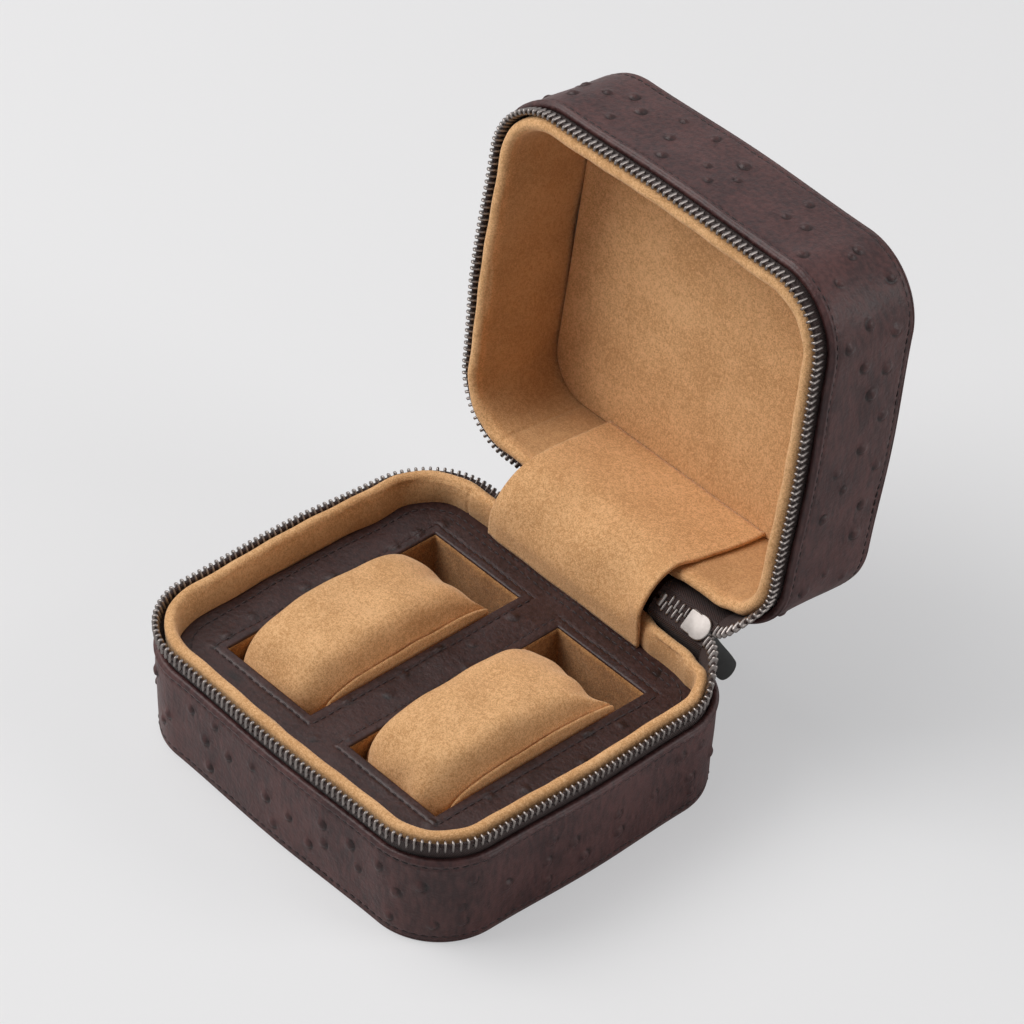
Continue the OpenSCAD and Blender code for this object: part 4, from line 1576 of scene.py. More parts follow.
@dataclass
class Insert:
    """Leather face of the insert with its two openings, and the suede wells below them."""

    edge_in: float = 6.8
    fold: float = 3.2
    roll: float = 0.7
    skirt: float = 2.2
    band: float = 0.22
    seed: int = 31
    well_corner: float = 0.7
    well_bend: float = 1.6
    well_in: float = 0.12
    well_drop: float = 0.55
    stitching: Stitching = field(
        default_factory=lambda: Stitching(pitch=2.9, length=2.2, thread_r=0.25))

    def lines(self) -> tuple[Array, Array]:
        """Grid lines along X and Y, closer together next to the openings."""
        near = np.array([0, 0.12, 0.3, 0.55, 0.9, 1.4, 2.0, 2.6, 2.9, 3.2, 3.5, 3.9, 4.6])
        half_w, half_d = CASE.well_w / 2, CASE.well_d / 2
        edges = [s * CASE.well_x + t * half_w for s in (-1, 1) for t in (-1, 1)]
        width = CASE.width / 2 - self.edge_in
        depth = CASE.depth / 2 - self.edge_in
        x = [between(edges[0], edges[1], 9), between(edges[2], edges[3], 9)]
        x += [edges[0] - near, edges[1] + near, edges[2] - near, edges[3] + near]
        x += [between(-width, edges[0] - near[-1], 14), between(edges[3] + near[-1], width, 14)]
        x += [between(edges[1] + near[-1], edges[2] - near[-1], 12)]
        y = [between(-half_d, half_d, 110), half_d + near, -half_d - near]
        turn = between(0, 1, 14)
        y += [half_d + near[-1] + (depth - half_d - near[-1]) * np.sin(turn * math.pi / 2)]
        y += [-half_d - near[-1] - (depth - half_d - near[-1]) * np.sin(turn * math.pi / 2)]
        return tuple(np.unique(np.round(np.concatenate(v), 4)) for v in (x, y))

    def opening_distance(self, x: Array, y: Array) -> Array:
        """Distance outside the nearer opening, measured so that its corners stay square."""
        dx = np.abs(np.abs(x) - CASE.well_x) - CASE.well_w / 2
        dy = np.abs(y) - CASE.well_d / 2
        return np.maximum(dx, dy)

    def height(self, x: Array, y: Array) -> Array:
        """Height of the leather face.

        It rolls down at the openings as a quarter circle, stands a little proud on the folded band
        round them, and dips at the stitch lines as narrow bells.
        """
        d = self.opening_distance(x, y)
        rolled = np.clip(1 - d / self.roll, 0, 1)
        drop = self.roll * (1 - np.sqrt(1 - rolled**2))
        raised = self.band * smooth((self.fold + 0.4 - d) / 0.7)
        dip = 0.3 * np.exp(-(((d - self.fold) / 0.35) ** 2))
        sway = Ripple(0.16, 20, self.seed).at(x, y)
        return CASE.insert_z + raised - drop - dip + sway * smooth(d / 3)

    def face(self) -> Piece:
        """Top sheet on the grid lines, with the cells in the openings left out."""
        lx, ly = self.lines()
        radius = CASE.corner_r - self.edge_in
        depth = CASE.depth / 2 - self.edge_in
        width = CASE.width / 2 - self.edge_in
        past = np.clip(np.abs(ly) - (depth - radius), 0, radius)
        reach = width - radius + np.sqrt(np.maximum(radius**2 - past**2, 0))
        squeeze = np.where(np.abs(ly) > CASE.well_d / 2, reach / width, 1.0)
        x = lx[:, None] * squeeze[None]
        y = np.broadcast_to(ly[None], x.shape)
        quills = Quills(self.seed, pitch=17.0, rise=0.34, swell=0.12, hole_depth=0.3)
        centres = quills.centres((-width + 4, width - 4), (-depth + 4, depth - 4))
        height, hole_and_shade, rise = quills.relief(x, y, centres)
        clear = smooth((self.opening_distance(x, y) - 1.2) / 1.0)
        z = self.height(x, y) + height * clear
        grid = np.stack([x, y, z], axis=-1)
        quads = grid_faces(len(lx), len(ly), False, False, False)
        mid = grid.reshape(-1, 3)[quads].mean(axis=1)
        quads = quads[self.opening_distance(mid[:, 0], mid[:, 1]) > 0]
        obj = new_object("insert_hide", grid, quads.tolist())
        set_relief(obj, hole_and_shade * clear, rise * clear)
        self.add_skirts(obj)
        thicken(obj, 1.1)
        return dress(obj, Finish.INSERT, "root", ["insert_leather"])

    def add_skirts(self, obj: Piece) -> None:
        """Turns the leather's edges down into the openings and drops unused points."""
        mesh = bmesh.new()
        mesh.from_mesh(obj.data)
        bmesh.ops.delete(mesh, geom=[v for v in mesh.verts if not v.link_faces], context="VERTS")
        face_up(mesh)
        inside = [
            e for e in mesh.edges
            if e.is_boundary and all(
                abs(self.opening_distance(v.co.x / MM, v.co.y / MM)) < 0.01 for v in e.verts)
        ]
        for drop in (0.5, self.skirt):
            made = bmesh.ops.extrude_edge_only(mesh, edges=inside)["geom"]
            for vert in (g for g in made if isinstance(g, bmesh.types.BMVert)):
                vert.co.z -= drop * MM
            inside = [g for g in made if isinstance(g, bmesh.types.BMEdge) and g.is_boundary]
            low = min(v.co.z for e in inside for v in e.verts)
            inside = [e for e in inside if max(v.co.z for v in e.verts) < low + 1.2 * MM]
        face_up(mesh)
        mesh.to_mesh(obj.data)
        mesh.free()
        obj.data.polygons.foreach_set("use_smooth", np.ones(len(obj.data.polygons), bool))

    def stitches(self) -> None:
        """Rows round both openings, along the rear edge and round the border."""
        up = np.array([0.0, 0.0, 1.0])
        rows = []
        for side in Side:
            w = CASE.well_w / 2 + self.fold
            d = CASE.well_d / 2 + self.fold
            cx = side.value * CASE.well_x
            corners = np.array([(cx - w, -d), (cx + w, -d), (cx + w, d), (cx - w, d)])
            for k in range(4):
                a, b = corners[k], corners[(k + 1) % 4]
                rows.append(a + (b - a) * between(0.012, 0.988, 60)[:, None])
        s = between(0, CASE.outline.length, 600)
        rows.append(CASE.outline.at(s, -CASE.lining_in - 3.0)[0])
        rear = CASE.depth / 2 - CASE.lining_in - 5.6
        rows.append(np.stack([between(-50, 50, 120), np.full(120, rear)], axis=1))
        pieces = []
        for k, row in enumerate(rows):
            z = self.height(row[:, 0], row[:, 1]) + 0.14
            points = np.c_[row, z]
            pieces.append(self.stitching.row(f"row_{k}", points, np.tile(up, (len(points), 1))))
        dress(join(pieces, "insert_stitches"), Finish.THREAD, "root")

    def well(self, side: Side) -> Piece:
        """Suede well: rings from the top of the wall down to the floor and in to its middle."""
        r = self.well_bend
        half = np.array([CASE.well_w / 2 - self.well_in, CASE.well_d / 2 - self.well_in])
        loop = fill_sides(rounded_loop(*(2 * half), self.well_corner, 6), 16)
        top = CASE.insert_z - self.well_drop
        low = CASE.well_floor
        wall_z = between(top, low + r, 12)
        bend = quarter(6)[1:]
        rings = [level(loop, z) for z in wall_z]
        rings += [
            level(loop * (1 - r * (1 - math.cos(a)) / half), low + r * (1 - math.sin(a))) for a in bend
        ]
        rings += [level(loop * (1 - r / half) * share, low) for share in (0.8, 0.5, 0.2, 0.0)]
        grid = np.array(rings)[::-1]
        sway = Ripple(0.2, 14, 70 + side.value).at(grid[..., 0] + grid[..., 1], grid[..., 2])
        below = smooth((top - grid[..., 2]) / 4)
        grid[..., :2] *= (1 - np.abs(sway) * below / 40)[..., None]
        grid[..., 0] += side.value * CASE.well_x
        obj = disc_surface("well_suede_" + side.name.lower(), grid, flip=False, pole_end=False)
        thicken(obj, 0.8)
        # The wells take the darker suede copy: painted shade in the recesses.
        return dress(obj, Finish.WELL_SUEDE, "root", ["well_lining_" + side.name.lower()])

    def build(self) -> None:
        """Makes the face, its stitches and the two wells."""
        self.face()
        self.stitches()
        for side in Side:
            self.well(side)


@dataclass
class Pillow:
    """Watch pillow: a wrap over front, top and back, sewn to two side panels.

    Every ring across the pillow lies between two closed curves in the Y-Z plane, the wrap's crown
    in the middle and the seam at the sides. The share of the seam is 1 - sqrt(1 - u ^ 5), with u
    the distance from the middle over the half width.
    """

    side: Side
    half_w: float = 15.9
    count: int = 240
    groove_x: tuple = (16.15, 16.28, 16.4, 16.85, 16.95, 17.2, 17.5, 17.8, 17.95)
    groove_in: tuple = (0.15, 0.7, 1.9, 1.9, 0.6, 0.0, -0.05, 0.4, 1.3)
    tuck: float = 3.2
    crown_points: tuple = (
        (-34.0, 7.7), (-39.3, 12.5), (-40.4, 24.0), (-39.4, 34.0), (-33.5, 41.0), (-22.0, 43.7),
        (-6.0, 44.2), (8.0, 43.3), (17.5, 40.8), (24.0, 36.6), (27.6, 30.5), (28.8, 21.0),
        (27.5, 11.5), (22.0, 7.6), (0.0, 7.4), (-18.0, 7.4),
    )
    seam_points: tuple = (
        (-29.0, 9.5), (-34.2, 14.5), (-35.4, 22.0), (-34.4, 27.0), (-30.5, 30.8), (-22.0, 32.9),
        (-6.0, 33.7), (8.0, 34.0), (18.0, 33.8), (25.5, 32.6), (30.2, 30.8), (28.9, 26.0),
        (27.2, 15.0), (21.5, 9.6), (0.0, 9.0), (-16.0, 9.0),
    )

    def rings(self) -> Triple:
        """Rings from one side panel's middle to the other's.

        Returns:
            Each ring's distance from the pillow's middle, its share of the seam, and how far it is
            drawn in from the seam: the groove between the wrap and the side panel's own ridge.
        """
        u = np.sin(between(-1, 1, 49) * math.pi / 2) * 0.985
        share = 1 - np.sqrt(1 - np.abs(u) ** 5)
        out_x, drawn = np.array(self.groove_x), np.array(self.groove_in)
        x = np.r_[-out_x[::-1], u * self.half_w, out_x]
        share = np.r_[np.ones(len(out_x)), share, np.ones(len(out_x))]
        drawn = np.r_[drawn[::-1], np.zeros(len(u)), drawn]
        return x, share, drawn

    def build(self) -> Piece:
        crown = closed_spline(self.crown_points, self.count)
        seam = closed_spline(self.seam_points, self.count)
        x, share, drawn = self.rings()
        short = seam.copy()
        short[:, 0] -= self.tuck * smooth((seam[:, 0] - 14) / 12)
        edge = np.where(x[:, None, None] < 0, short[None], seam[None])
        loops = crown[None] * (1 - share[:, None, None]) + edge * share[:, None, None]
        middle = seam.mean(axis=0)
        away = unit(loops - middle)
        travelled = travelled_along(crown)
        wrap = smooth((1 - share) / 0.5)[:, None]
        seed = self.side.value
        lift = Ripple(0.42, 19, 11 + seed).at(travelled[None], x[:, None], travelled[-1])
        rear = smooth((loops[..., 0] - 8) / 14) * smooth((loops[..., 1] - 24) / 6)
        lift = lift + Ripple(0.45, 13, 51 + seed).at(x[:, None], 0.1 * travelled[None]) * rear
        wave = Ripple(0.25, 17, 61 + seed).at(travelled[None], 0 * x[:, None], travelled[-1])
        loops = loops + away * (lift * wrap + wave * (1 - wrap) - drawn[:, None])[..., None]
        inner = np.array([0.86, 0.6, 0.3, 0.0])[:, None, None]
        sides = [middle + (loops[end] - middle) * inner for end in (0, -1)]
        loops = np.concatenate([sides[0][::-1], loops, sides[1]])
        side_x = x[-1] + np.array([0.0, 0.1, 0.2, 0.2])
        x = np.r_[-side_x[::-1], x, side_x]
        low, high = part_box(f"pillow_{self.side.name.lower()}_cover")
        cx = (low.x + high.x) / 2 / MM
        across = np.broadcast_to(x[:, None, None], loops.shape[:2] + (1,)) + cx
        grid = np.concatenate([across, loops], axis=-1)
        name = self.side.name.lower()
        obj = disc_surface(f"pillow_{name}_suede", grid, flip=False)
        face_outwards(obj)
        dress(obj, Finish.SUEDE, "pillow_" + name, [f"pillow_{name}_cover"])
        return obj


@dataclass
class Ceiling:
    """Padded panel inside the lid: a rounded rectangle with a soft edge and a slight crown."""

    gap: float = 0.15
    corner: float = 15.0
    thickness: float = 2.4
    crown: float = 1.3
    edge_r: float = 1.9
    seed: int = 53

    def build(self) -> Piece:
        """Rings from the middle of the face to the edge, over a quarter round and back below."""
        width = CASE.width - 2 * (CASE.lining_in + self.gap)
        depth = CASE.depth - 2 * (CASE.lining_in + self.gap)
        loop = rounded_loop(width, depth, self.corner, 40)
        straight = fill_sides(loop, 24)
        r = self.edge_r
        share = between(0, 1, 42)
        turn = quarter(7)[1:]
        toward = unit(straight)
        inner = straight - toward * r
        face = share[:, None, None] * inner[None]
        swell = self.crown * (1 - share[:, None] ** 2.6)
        sway = Ripple(0.16, 30, self.seed).at(face[..., 0], face[..., 1])
        edge_z = CASE.floor_top + self.thickness
        z = edge_z + swell + sway * smooth((1 - share[:, None]) / 0.1)
        top = np.concatenate([face, z[..., None]], axis=-1)
        rim = [level(inner + toward * r * math.sin(a), edge_z - r * (1 - math.cos(a))) for a in turn]
        below = [level(straight * k, CASE.floor_top + 0.3) for k in (1.0, 0.97, 0.5, 0.0)]
        grid = CASE.place(np.concatenate([top, rim, below]), Half.LID)
        obj = disc_surface("ceiling_suede", grid, flip=False)
        face_outwards(obj)
        dress(obj, Finish.SUEDE, "lid", ["ceiling_pad"])
        return obj


@dataclass
class HingeCloth:
    """The two strips that bend across the hinge: the suede flap inside, the leather outside."""

    flap_low: tuple[float, float] = (-36.5, 31.0)
    flap_high: tuple[float, float] = (-34.0, 34.5)
    strip_x: tuple[float, float] = (-41.0, 33.0)
    reach: float = 16.0
    flap_inset: float = 8.5

    def lid_point(self, inset: float, depth: float) -> Array:
        """Point of the open lid, by its inset from the back face and depth below the rim."""
        return CASE.place(np.array([0.0, CASE.depth / 2 - inset, CASE.rim[Half.LID] - depth]), Half.LID)

    def flap(self) -> Piece:
        """Suede flap from the insert, over the gap and along the lid's wall to its ceiling."""
        y = CASE.depth / 2 - self.flap_inset
        low = np.array([0.0, y, CASE.insert_z + 0.2])
        start = np.array([0.0, y, CASE.rim[Half.BASE] - 3.4])
        land = self.lid_point(self.flap_inset, 5.0)
        away = land - self.lid_point(self.flap_inset, 0.0)
        last = self.lid_point(self.flap_inset, CASE.rim[Half.LID] - CASE.floor_top - 2.6)
        path = np.vstack([
            np.linspace(low, start, 8)[:-1],
            cubic(start, start + [0, 0.6, 7.5], land - away * 2.3, land, 34),
            np.linspace(land, last, 24)[1:],
        ])
        travelled = travelled_along(path)
        share = travelled / travelled[-1]
        left = self.flap_low[0] + (self.flap_high[0] - self.flap_low[0]) * smooth(share * 2)
        right = self.flap_low[1] + (self.flap_high[1] - self.flap_low[1]) * smooth((share - 0.3) * 1.6)
        u = between(0, 1, 71)[:, None]
        x = left[None] + (right - left)[None] * u
        tangent = unit(np.gradient(path[:, 1:], axis=0))
        inward = np.stack([-tangent[:, 1], tangent[:, 0]], axis=1)
        free = smooth((travelled - 6) / 8) * smooth((travelled[34] + 8 - travelled) / 9)
        curl = 1.9 * smooth((u - 0.86) / 0.14) * free[None]
        sway = Ripple(0.55, 26, 91).at(x, travelled[None] + 0 * x) * (0.25 + 0.75 * free[None])
        sag = -0.9 * np.sin(np.pi * u) * free[None]
        flush = smooth(u / 0.08) + (1 - smooth(u / 0.08)) * smooth((share[None] - 0.3) / 0.2)
        lift = -0.25 + (0.6 + 0.5 * smooth((share[None] - 0.45) / 0.2) + curl + sway + sag) * flush
        grid = np.stack([
            x,
            path[None, :, 1] + inward[None, :, 0] * lift,
            path[None, :, 2] + inward[None, :, 1] * lift,
        ], axis=-1)
        obj = surface("flap_suede", grid, flip=True)
        thicken(obj, 1.0)
        dress(obj, Finish.SUEDE, None, ["hinge_flap"])
        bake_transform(obj)
        return obj

    def strip(self) -> Piece:
        """Leather strip outside the hinge, glued to both walls."""
        out = CASE.depth / 2 + 0.35
        a = np.array([0.0, out, CASE.edge[Half.BASE] - 1])
        d = self.lid_point(-0.35, CASE.rim[Half.LID] - CASE.edge[Half.LID] + 1)
        away = d - self.lid_point(-0.35, CASE.rim[Half.LID] - CASE.edge[Half.LID] - 4)
        path = np.vstack([
            np.linspace(a - [0, 0, self.reach - 1], a, 14)[:-1],
            cubic(a, a + [0, 0, 8], d - away * 0.8, d, 22),
            np.linspace(d, d + away * (self.reach - 1) / 5, 14)[1:],
        ])
        travelled = travelled_along(path)
        x = between(*self.strip_x, 90)[:, None]
        tangent = unit(np.gradient(path[:, 1:], axis=0))
        outward = np.stack([tangent[:, 1], -tangent[:, 0]], axis=1)
        quills = Quills(77, pitch=15.0, rise=0.4, swell=0.15, hole_depth=0.35)
        centres = quills.centres((self.strip_x[0] + 5, self.strip_x[1] - 5), (4, travelled[-1] - 4))
        height, hole_and_shade, rise = quills.relief(x, travelled[None], centres)
        lift = 1.1 + height + Ripple(0.12, 15, 78).at(x, travelled[None])
        edge = np.minimum(x - self.strip_x[0], self.strip_x[1] - x)
        lift = lift - 0.7 * smooth((0.9 - edge) / 0.9)
        lift = lift - 0.25 * np.exp(-(((edge - 2.4) / 0.4) ** 2))
        grid = np.stack([
            np.broadcast_to(x, lift.shape),
            path[None, :, 1] + outward[None, :, 0] * lift,
            path[None, :, 2] + outward[None, :, 1] * lift,
        ], axis=-1)
        obj = surface("hinge_hide", grid)
        set_relief(obj, hole_and_shade, rise)
        thicken(obj, 1.0)
        dress(obj, Finish.LEATHER, None, ["hinge_leather"])
        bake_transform(obj)
        self.strip_stitches(path, outward, travelled)
        return obj

    def strip_stitches(self, path: Array, outward: Array, travelled: Array) -> None:
        """Stitches up both ends and across both edges of the outer strip."""
        flat = 12.5
        x0, x1 = self.strip_x[0] + 2.4, self.strip_x[1] - 2.4
        outs = np.c_[np.zeros(len(path)), outward]
        for label, keep, body in (
            ("low", travelled < flat, "root"),
            ("high", travelled > travelled[-1] - flat, "lid"),
        ):
            pieces = []
            stretch = np.flatnonzero(keep)
            for x in (x0, x1):
                points = path[stretch] + outs[stretch] * 1.0
                points[:, 0] = x
                pieces.append(Stitching().row(f"{label}_{x:.0f}", points, outs[stretch]))
            row = stretch[2] if body == "root" else stretch[-3]
            points = np.tile(path[row] + outs[row] * 1.1, (60, 1))
            points[:, 0] = between(x0, x1, 60)
            pieces.append(Stitching().row(f"{label}_across", points, np.tile(outs[row], (60, 1))))
            dress(join(pieces, f"hinge_{label}_stitches"), Finish.THREAD, body)

    def build(self) -> None:
        """Makes both strips."""
        self.flap()
        self.strip()


@dataclass
class Slider:
    """Zip slider with its two plates, side flanges, bail, link and tab.

    It is drawn about the chain's middle with X towards the mouth, Y outwards and Z across, and
    turned with the closed end of the zip.
    """

    length: float = 12.0
    width: float = 8.0
    flank: float = 3.5
    inner_x: float = -3.6
    head_x: float = 2.2
    head_l: float = 3.8
    notch_x: float = 0.2
    flange_z: float = 3.35
    plate_t: float = 1.2
    channel: float = 1.1
    pull_droop: float = 14.7
    pin_drop: float = 1.0
    arm_in: float = 1.67
    arm_t: float = 0.8
    arm_l: float = 4.53
    link_l: float = 6.5
    bail_h: float = 2.51
    bail_bar: float = 1.0
    bail_reach: float = 3.6
    tab_l: float = 22.0
    tab_w: float = 7.4
    tab_t: float = 1.8

    def placed(self, points: Array) -> Array:
        """Slider coordinates to the open case."""
        origin = np.array([CASE.slider_x, CASE.track_y, CASE.mid[Half.BASE]])
        return CASE.place(points + origin, Half.BASE, 0.5)

    def pulled(self, points: Array) -> Array:
        """Pull coordinates, Y along the pull and Z along its pin, to slider coordinates."""
        a = math.radians(-self.pull_droop)
        y = points[..., 1] * math.cos(a) - points[..., 2] * math.sin(a)
        z = points[..., 1] * math.sin(a) + points[..., 2] * math.cos(a)
        pin = self.channel + self.plate_t + self.bail_h - self.pin_drop
        return np.stack([points[..., 0], y + pin, z], axis=-1)

    def solid(self, name: str, rings: Array, pulled: bool = False) -> Piece:
        """A closed shape from rings in slider or pull coordinates."""
        points = self.placed(self.pulled(rings) if pulled else rings)
        return Shape(points).copies(name, np.zeros((1, 3)), np.eye(3)[None])

    def plate_loop(self, start: float) -> Array:
        """Outline of a plate: flanks from the chain's end, a notch and a wide round head.

        Past the notch the half width is the head's, closed by a superellipse at the mouth.

        Args:
            start: X of the chain's end.

        Returns:
            The outline, n by 2.
        """
        round_x = self.head_x + self.head_l * np.sin(quarter(14)[1:])
        x = np.r_[start, between(start + 0.4, self.head_x, 22), round_x]
        body = self.flank + 0.12 * (x - start) / 3 - 0.12 * np.exp(-(((x - self.notch_x) / 0.5) ** 2))
        past = ((x - self.head_x) / self.head_l).clip(0, 1)
        head = self.width / 2 * np.sqrt(np.clip(1 - past**2.2, 0, 1))
        w = body + (head - body) * smooth((x - self.notch_x) / 0.9)
        w[0] -= 0.4
        upper = np.stack([x, w], axis=1)
        lower = np.stack([x, -w], axis=1)[::-1]
        return np.vstack([upper, lower[1:]])

    def slider_body(self) -> None:
        """Two plates, the flanges along their sides and the wedge that parts the teeth."""
        pieces = []
        inner, outer = self.plate_loop(self.inner_x), self.plate_loop(-self.length / 2)
        for loop, y0, y1 in (
            (outer, self.channel, self.channel + self.plate_t),
            (inner, -self.channel - self.plate_t, -self.channel),
        ):
            rings = block(loop, y0, y1, 0.45)
            pieces.append(self.solid("plate", rings[..., [0, 2, 1]]))
        flange = rounded_loop(6.0, 0.6, 0.25, 3)
        for sign in (-1, 1):
            for y0, y1 in ((0.7, self.channel + 0.2), (-self.channel - 0.2, -0.7)):
                rings = block(flange + [-0.3, sign * self.flange_z], y0, y1, 0.15)
                pieces.append(self.solid("flange", rings[..., [0, 2, 1]]))
        wedge = closed_spline([(1.6, 0), (3.4, 1.2), (5.2, 0.5), (5.2, -0.5), (3.4, -1.2)], 20)
        rings = block(wedge, -self.channel - 0.1, self.channel + 0.1, 0.05)
        pieces.append(self.solid("wedge", rings[..., [0, 2, 1]]))
        dress(join(pieces, "slider_plates"), Finish.NICKEL, "slider", ["slider_body"])

    def bail(self) -> None:
        """Arch over the outer plate: a flat bar bent down at both ends."""
        base = self.channel + self.plate_t - 0.1
        top = self.channel + self.plate_t + self.bail_h + self.bail_bar / 2
        reach = self.bail_reach - 0.55
        r = 1.2
        turn = quarter(7)
        left = np.stack([-reach + r - r * np.cos(turn), top - r + r * np.sin(turn)], axis=1)
        right = np.stack([reach - r + r * np.sin(turn), top - r + r * np.cos(turn)], axis=1)
        path = np.vstack([[(-reach, base)], left, right, [(reach, base)]])
        tangent = unit(np.gradient(path, axis=0))
        side = np.stack([-tangent[:, 1], tangent[:, 0]], axis=1)
        loop = rounded_loop(1.0, 1.8, 0.35, 4)
        rings = np.stack([
            path[:, None, 0] + side[:, None, 0] * loop[None, :, 0],
            path[:, None, 1] + side[:, None, 1] * loop[None, :, 0],
            np.broadcast_to(loop[None, :, 1], (len(path), len(loop))),
        ], axis=-1)
        dress(self.solid("slider_arch", rings), Finish.NICKEL, "slider", ["slider_bail"])

    def link(self) -> None:
        """Metal link: a pin, two arms and the socket that holds the tab."""
        half = self.arm_in + self.arm_t
        pin = rounded_loop(0.9, 0.9, 0.449, 5)
        pieces = [self.solid("pin", block(pin, -half, half, 0.1), pulled=True)]
        eye = 0.6
        turn = between(math.pi, 2 * math.pi, 12)
        arm = np.vstack([
            np.stack([eye * np.cos(turn), eye * np.sin(turn)], axis=1),
            [(eye, self.arm_l + 0.3), (-eye, self.arm_l + 0.3)],
        ])
        for z0 in (self.arm_in, -half):
            pieces.append(self.solid("arm", block(arm, z0, z0 + self.arm_t, 0.15), pulled=True))
        socket = rounded_loop(2 * eye + 0.7, 2 * half, 0.5, 5)
        rings = block(socket, self.arm_l, self.link_l + 0.6, 0.3)
        pieces.append(self.solid("socket", rings[..., [0, 2, 1]], pulled=True))
        dress(join(pieces, "pull_metal"), Finish.NICKEL, "pull", ["pull_link"])

    def tab(self) -> None:
        """Black tab that widens to a round end, with a soft ridge along its middle."""
        r = self.tab_w / 2
        end = self.link_l + self.tab_l - r
        start = self.link_l + 0.1
        side = between(start, end, 14)
        w = 2.3 + (r - 2.3) * smooth((side - start) / (end - start))
        turn = between(0, math.pi, 19)
        cap = np.stack([end + r * np.sin(turn), r * np.cos(turn)], axis=1)
        loop = np.vstack([np.stack([side, w], axis=1), cap[1:-1], np.stack([side, -w], axis=1)[::-1]])
        rings = block(loop, -self.tab_t / 2, self.tab_t / 2, 0.55)
        grip = self.solid("pull_grip", rings[..., [2, 0, 1]], pulled=True)
        dress(grip, Finish.BLACK, "pull", ["pull_tab"])

    def build(self) -> None:
        """Makes the slider and its pull."""
        self.slider_body()
        self.bail()
        self.link()
        self.tab()


def dress_hidden_nodes() -> None:
    """Gives the boards, the foam and the insert's block their materials."""
    for finish, names in (
        (Finish.BOARD, (
            "base_wall_board", "base_floor_board", "lid_wall_board", "lid_top_board", "ceiling_board",
        )),
        (Finish.FOAM, ("insert_block", "pillow_left_core", "pillow_right_core")),
    ):
        for name in names:
            node = frame["nodes"][name]
            if not node.data.materials:
                node.data.materials.append(None)
            for k in range(len(node.data.materials)):
                node.data.materials[k] = finish.material()


@dataclass(frozen=True)
class Lamp:
    """Square soft lamp: places in metres, power in watts."""

    name: str
    place: tuple[float, float, float]
    aim: tuple[float, float, float]
    size: float
    power: float
    tint: tuple[float, float, float]

    def build(self) -> None:
        """Hangs the lamp and aims it."""
        data = bpy.data.lights.new(self.name, "AREA")
        data.shape = "SQUARE"
        data.size = self.size
        data.energy = self.power
        data.color = self.tint
        lamp = bpy.data.objects.new(self.name, data)
        lamp.location = self.place
        back = Vector(self.place) - Vector(self.aim)
        lamp.rotation_euler = back.to_track_quat("Z", "Y").to_euler()
        bpy.context.scene.collection.objects.link(lamp)


LAMPS = (
    Lamp("key", (-1.0, -0.9, 1.5), (0, 0.03, 0.05), 1.3, 20.5, (1.0, 0.985, 0.965)),
    Lamp("sky", (-0.9, -0.5, 1.8), (0, 0.03, 0.05), 2.2, 23, (1.0, 0.99, 0.98)),
    Lamp("rear", (1.4, 1.0, 0.9), (0.05, 0.05, 0.06), 1.0, 11, (1.0, 0.985, 0.97)),
)


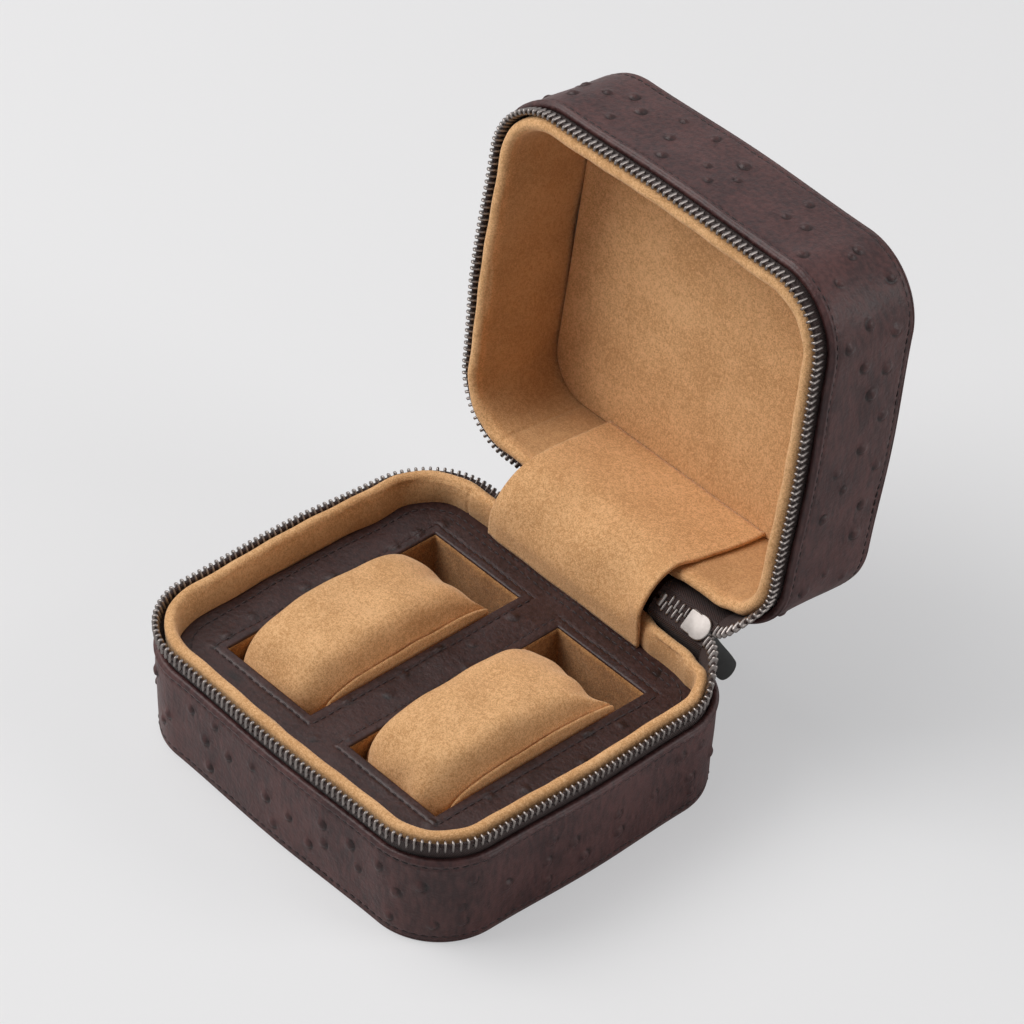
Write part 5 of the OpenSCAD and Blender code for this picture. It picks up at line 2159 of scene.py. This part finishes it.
@dataclass
class Studio:
    """Camera, pale floor and soft lights."""

    azimuth: float = 46.366
    elevation: float = 40.407
    roll: float = 2.727
    distance: float = 1623.07
    focal_px: float = 5340.71
    target: tuple[float, float, float] = (-31.574, 58.264, 40.0)
    frame_px: float = 1024.0
    sensor: float = 36.0
    ambient: float = 0.12
    seen: float = 0.8
    floor_reach: float = 9000.0

    def camera(self) -> None:
        """Camera looking at the target from an azimuth and elevation, rolled a little."""
        az, el, roll = (math.radians(a) for a in (self.azimuth, self.elevation, self.roll))
        back = np.array([math.sin(az) * math.cos(el), -math.cos(az) * math.cos(el), math.sin(el)])
        right = np.array([math.cos(az), math.sin(az), 0.0])
        up = np.cross(back, right)
        right, up = (
            right * math.cos(roll) + up * math.sin(roll),
            up * math.cos(roll) - right * math.sin(roll),
        )
        data = bpy.data.cameras.new("camera")
        data.lens = self.focal_px / self.frame_px * self.sensor
        data.sensor_width = self.sensor
        data.clip_start = 0.1
        data.clip_end = 20
        camera = bpy.data.objects.new("camera", data)
        place = Matrix.Identity(4)
        for row in range(3):
            place[row][0], place[row][1], place[row][2] = right[row], up[row], back[row]
            place[row][3] = (self.target[row] + back[row] * self.distance) * MM
        camera.matrix_world = place
        bpy.context.scene.collection.objects.link(camera)
        bpy.context.scene.camera = camera

    def floor(self) -> None:
        """Wide pale floor."""
        reach = self.floor_reach
        corners = [(-reach, -reach, 0), (reach, -reach, 0), (reach, reach, 0), (-reach, reach, 0)]
        obj = new_object("floor", np.array(corners), [(0, 1, 2, 3)])
        n = Nodes("floor_paper")
        cloud = n.noise(n.places(), 3, 2)
        paper = n.ramp(cloud, [(0.3, (0.79, 0.79, 0.8)), (0.7, (0.82, 0.82, 0.83))])
        seen = n.add("LightPath").outputs["Is Camera Ray"]
        n.set(Base_Color=n.mix(seen, paper, (0.42, 0.42, 0.425, 1.0)), Roughness=0.85)
        n.set(Specular_IOR_Level=0.2, Emission_Color=(0.4, 0.4, 0.405, 1.0), Emission_Strength=seen)
        obj.data.materials.append(n.material)

    def world(self) -> None:
        """Even pale surroundings."""
        world = bpy.data.worlds.new("world")
        bpy.context.scene.world = world
        world.use_nodes = True
        shade = world.node_tree.nodes["Background"]
        shade.inputs["Color"].default_value = (0.97, 0.98, 1.0, 1.0)
        nodes = world.node_tree.nodes
        links = world.node_tree.links
        path = nodes.new("ShaderNodeLightPath")
        direct = nodes.new("ShaderNodeMath")
        direct.operation = "MAXIMUM"
        links.new(path.outputs["Is Camera Ray"], direct.inputs[0])
        links.new(path.outputs["Is Glossy Ray"], direct.inputs[1])
        strength = nodes.new("ShaderNodeMapRange")
        strength.inputs["To Min"].default_value = self.ambient
        strength.inputs["To Max"].default_value = self.seen
        links.new(direct.outputs[0], strength.inputs["Value"])
        links.new(strength.outputs[0], shade.inputs["Strength"])

    def build(self) -> None:
        """Sets the whole stage."""
        self.camera()
        self.floor()
        self.world()
        for lamp in LAMPS:
            lamp.build()
        bpy.context.scene.view_settings.view_transform = "Standard"


def main() -> None:
    """Builds the case piece by piece."""
    logging.basicConfig(level=logging.INFO, format="%(name)s: %(message)s")
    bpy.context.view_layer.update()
    Studio().build()
    dress_hidden_nodes()
    LeatherShell(Half.BASE, seed=3).build()
    LeatherShell(Half.LID, seed=8, taper=0.4, heading=2.4, hem_drop=1.0).build()
    WallLining(Half.BASE, seed=21, out=3.3, depth=7.0, lean=1.5).build()
    WallLining(Half.LID, seed=22).build()
    Zip().build()
    Insert().build()
    for side in Side:
        Pillow(side).build()
    Ceiling().build()
    HingeCloth().build()
    Slider().build()


if __name__ == "__main__":
    main()
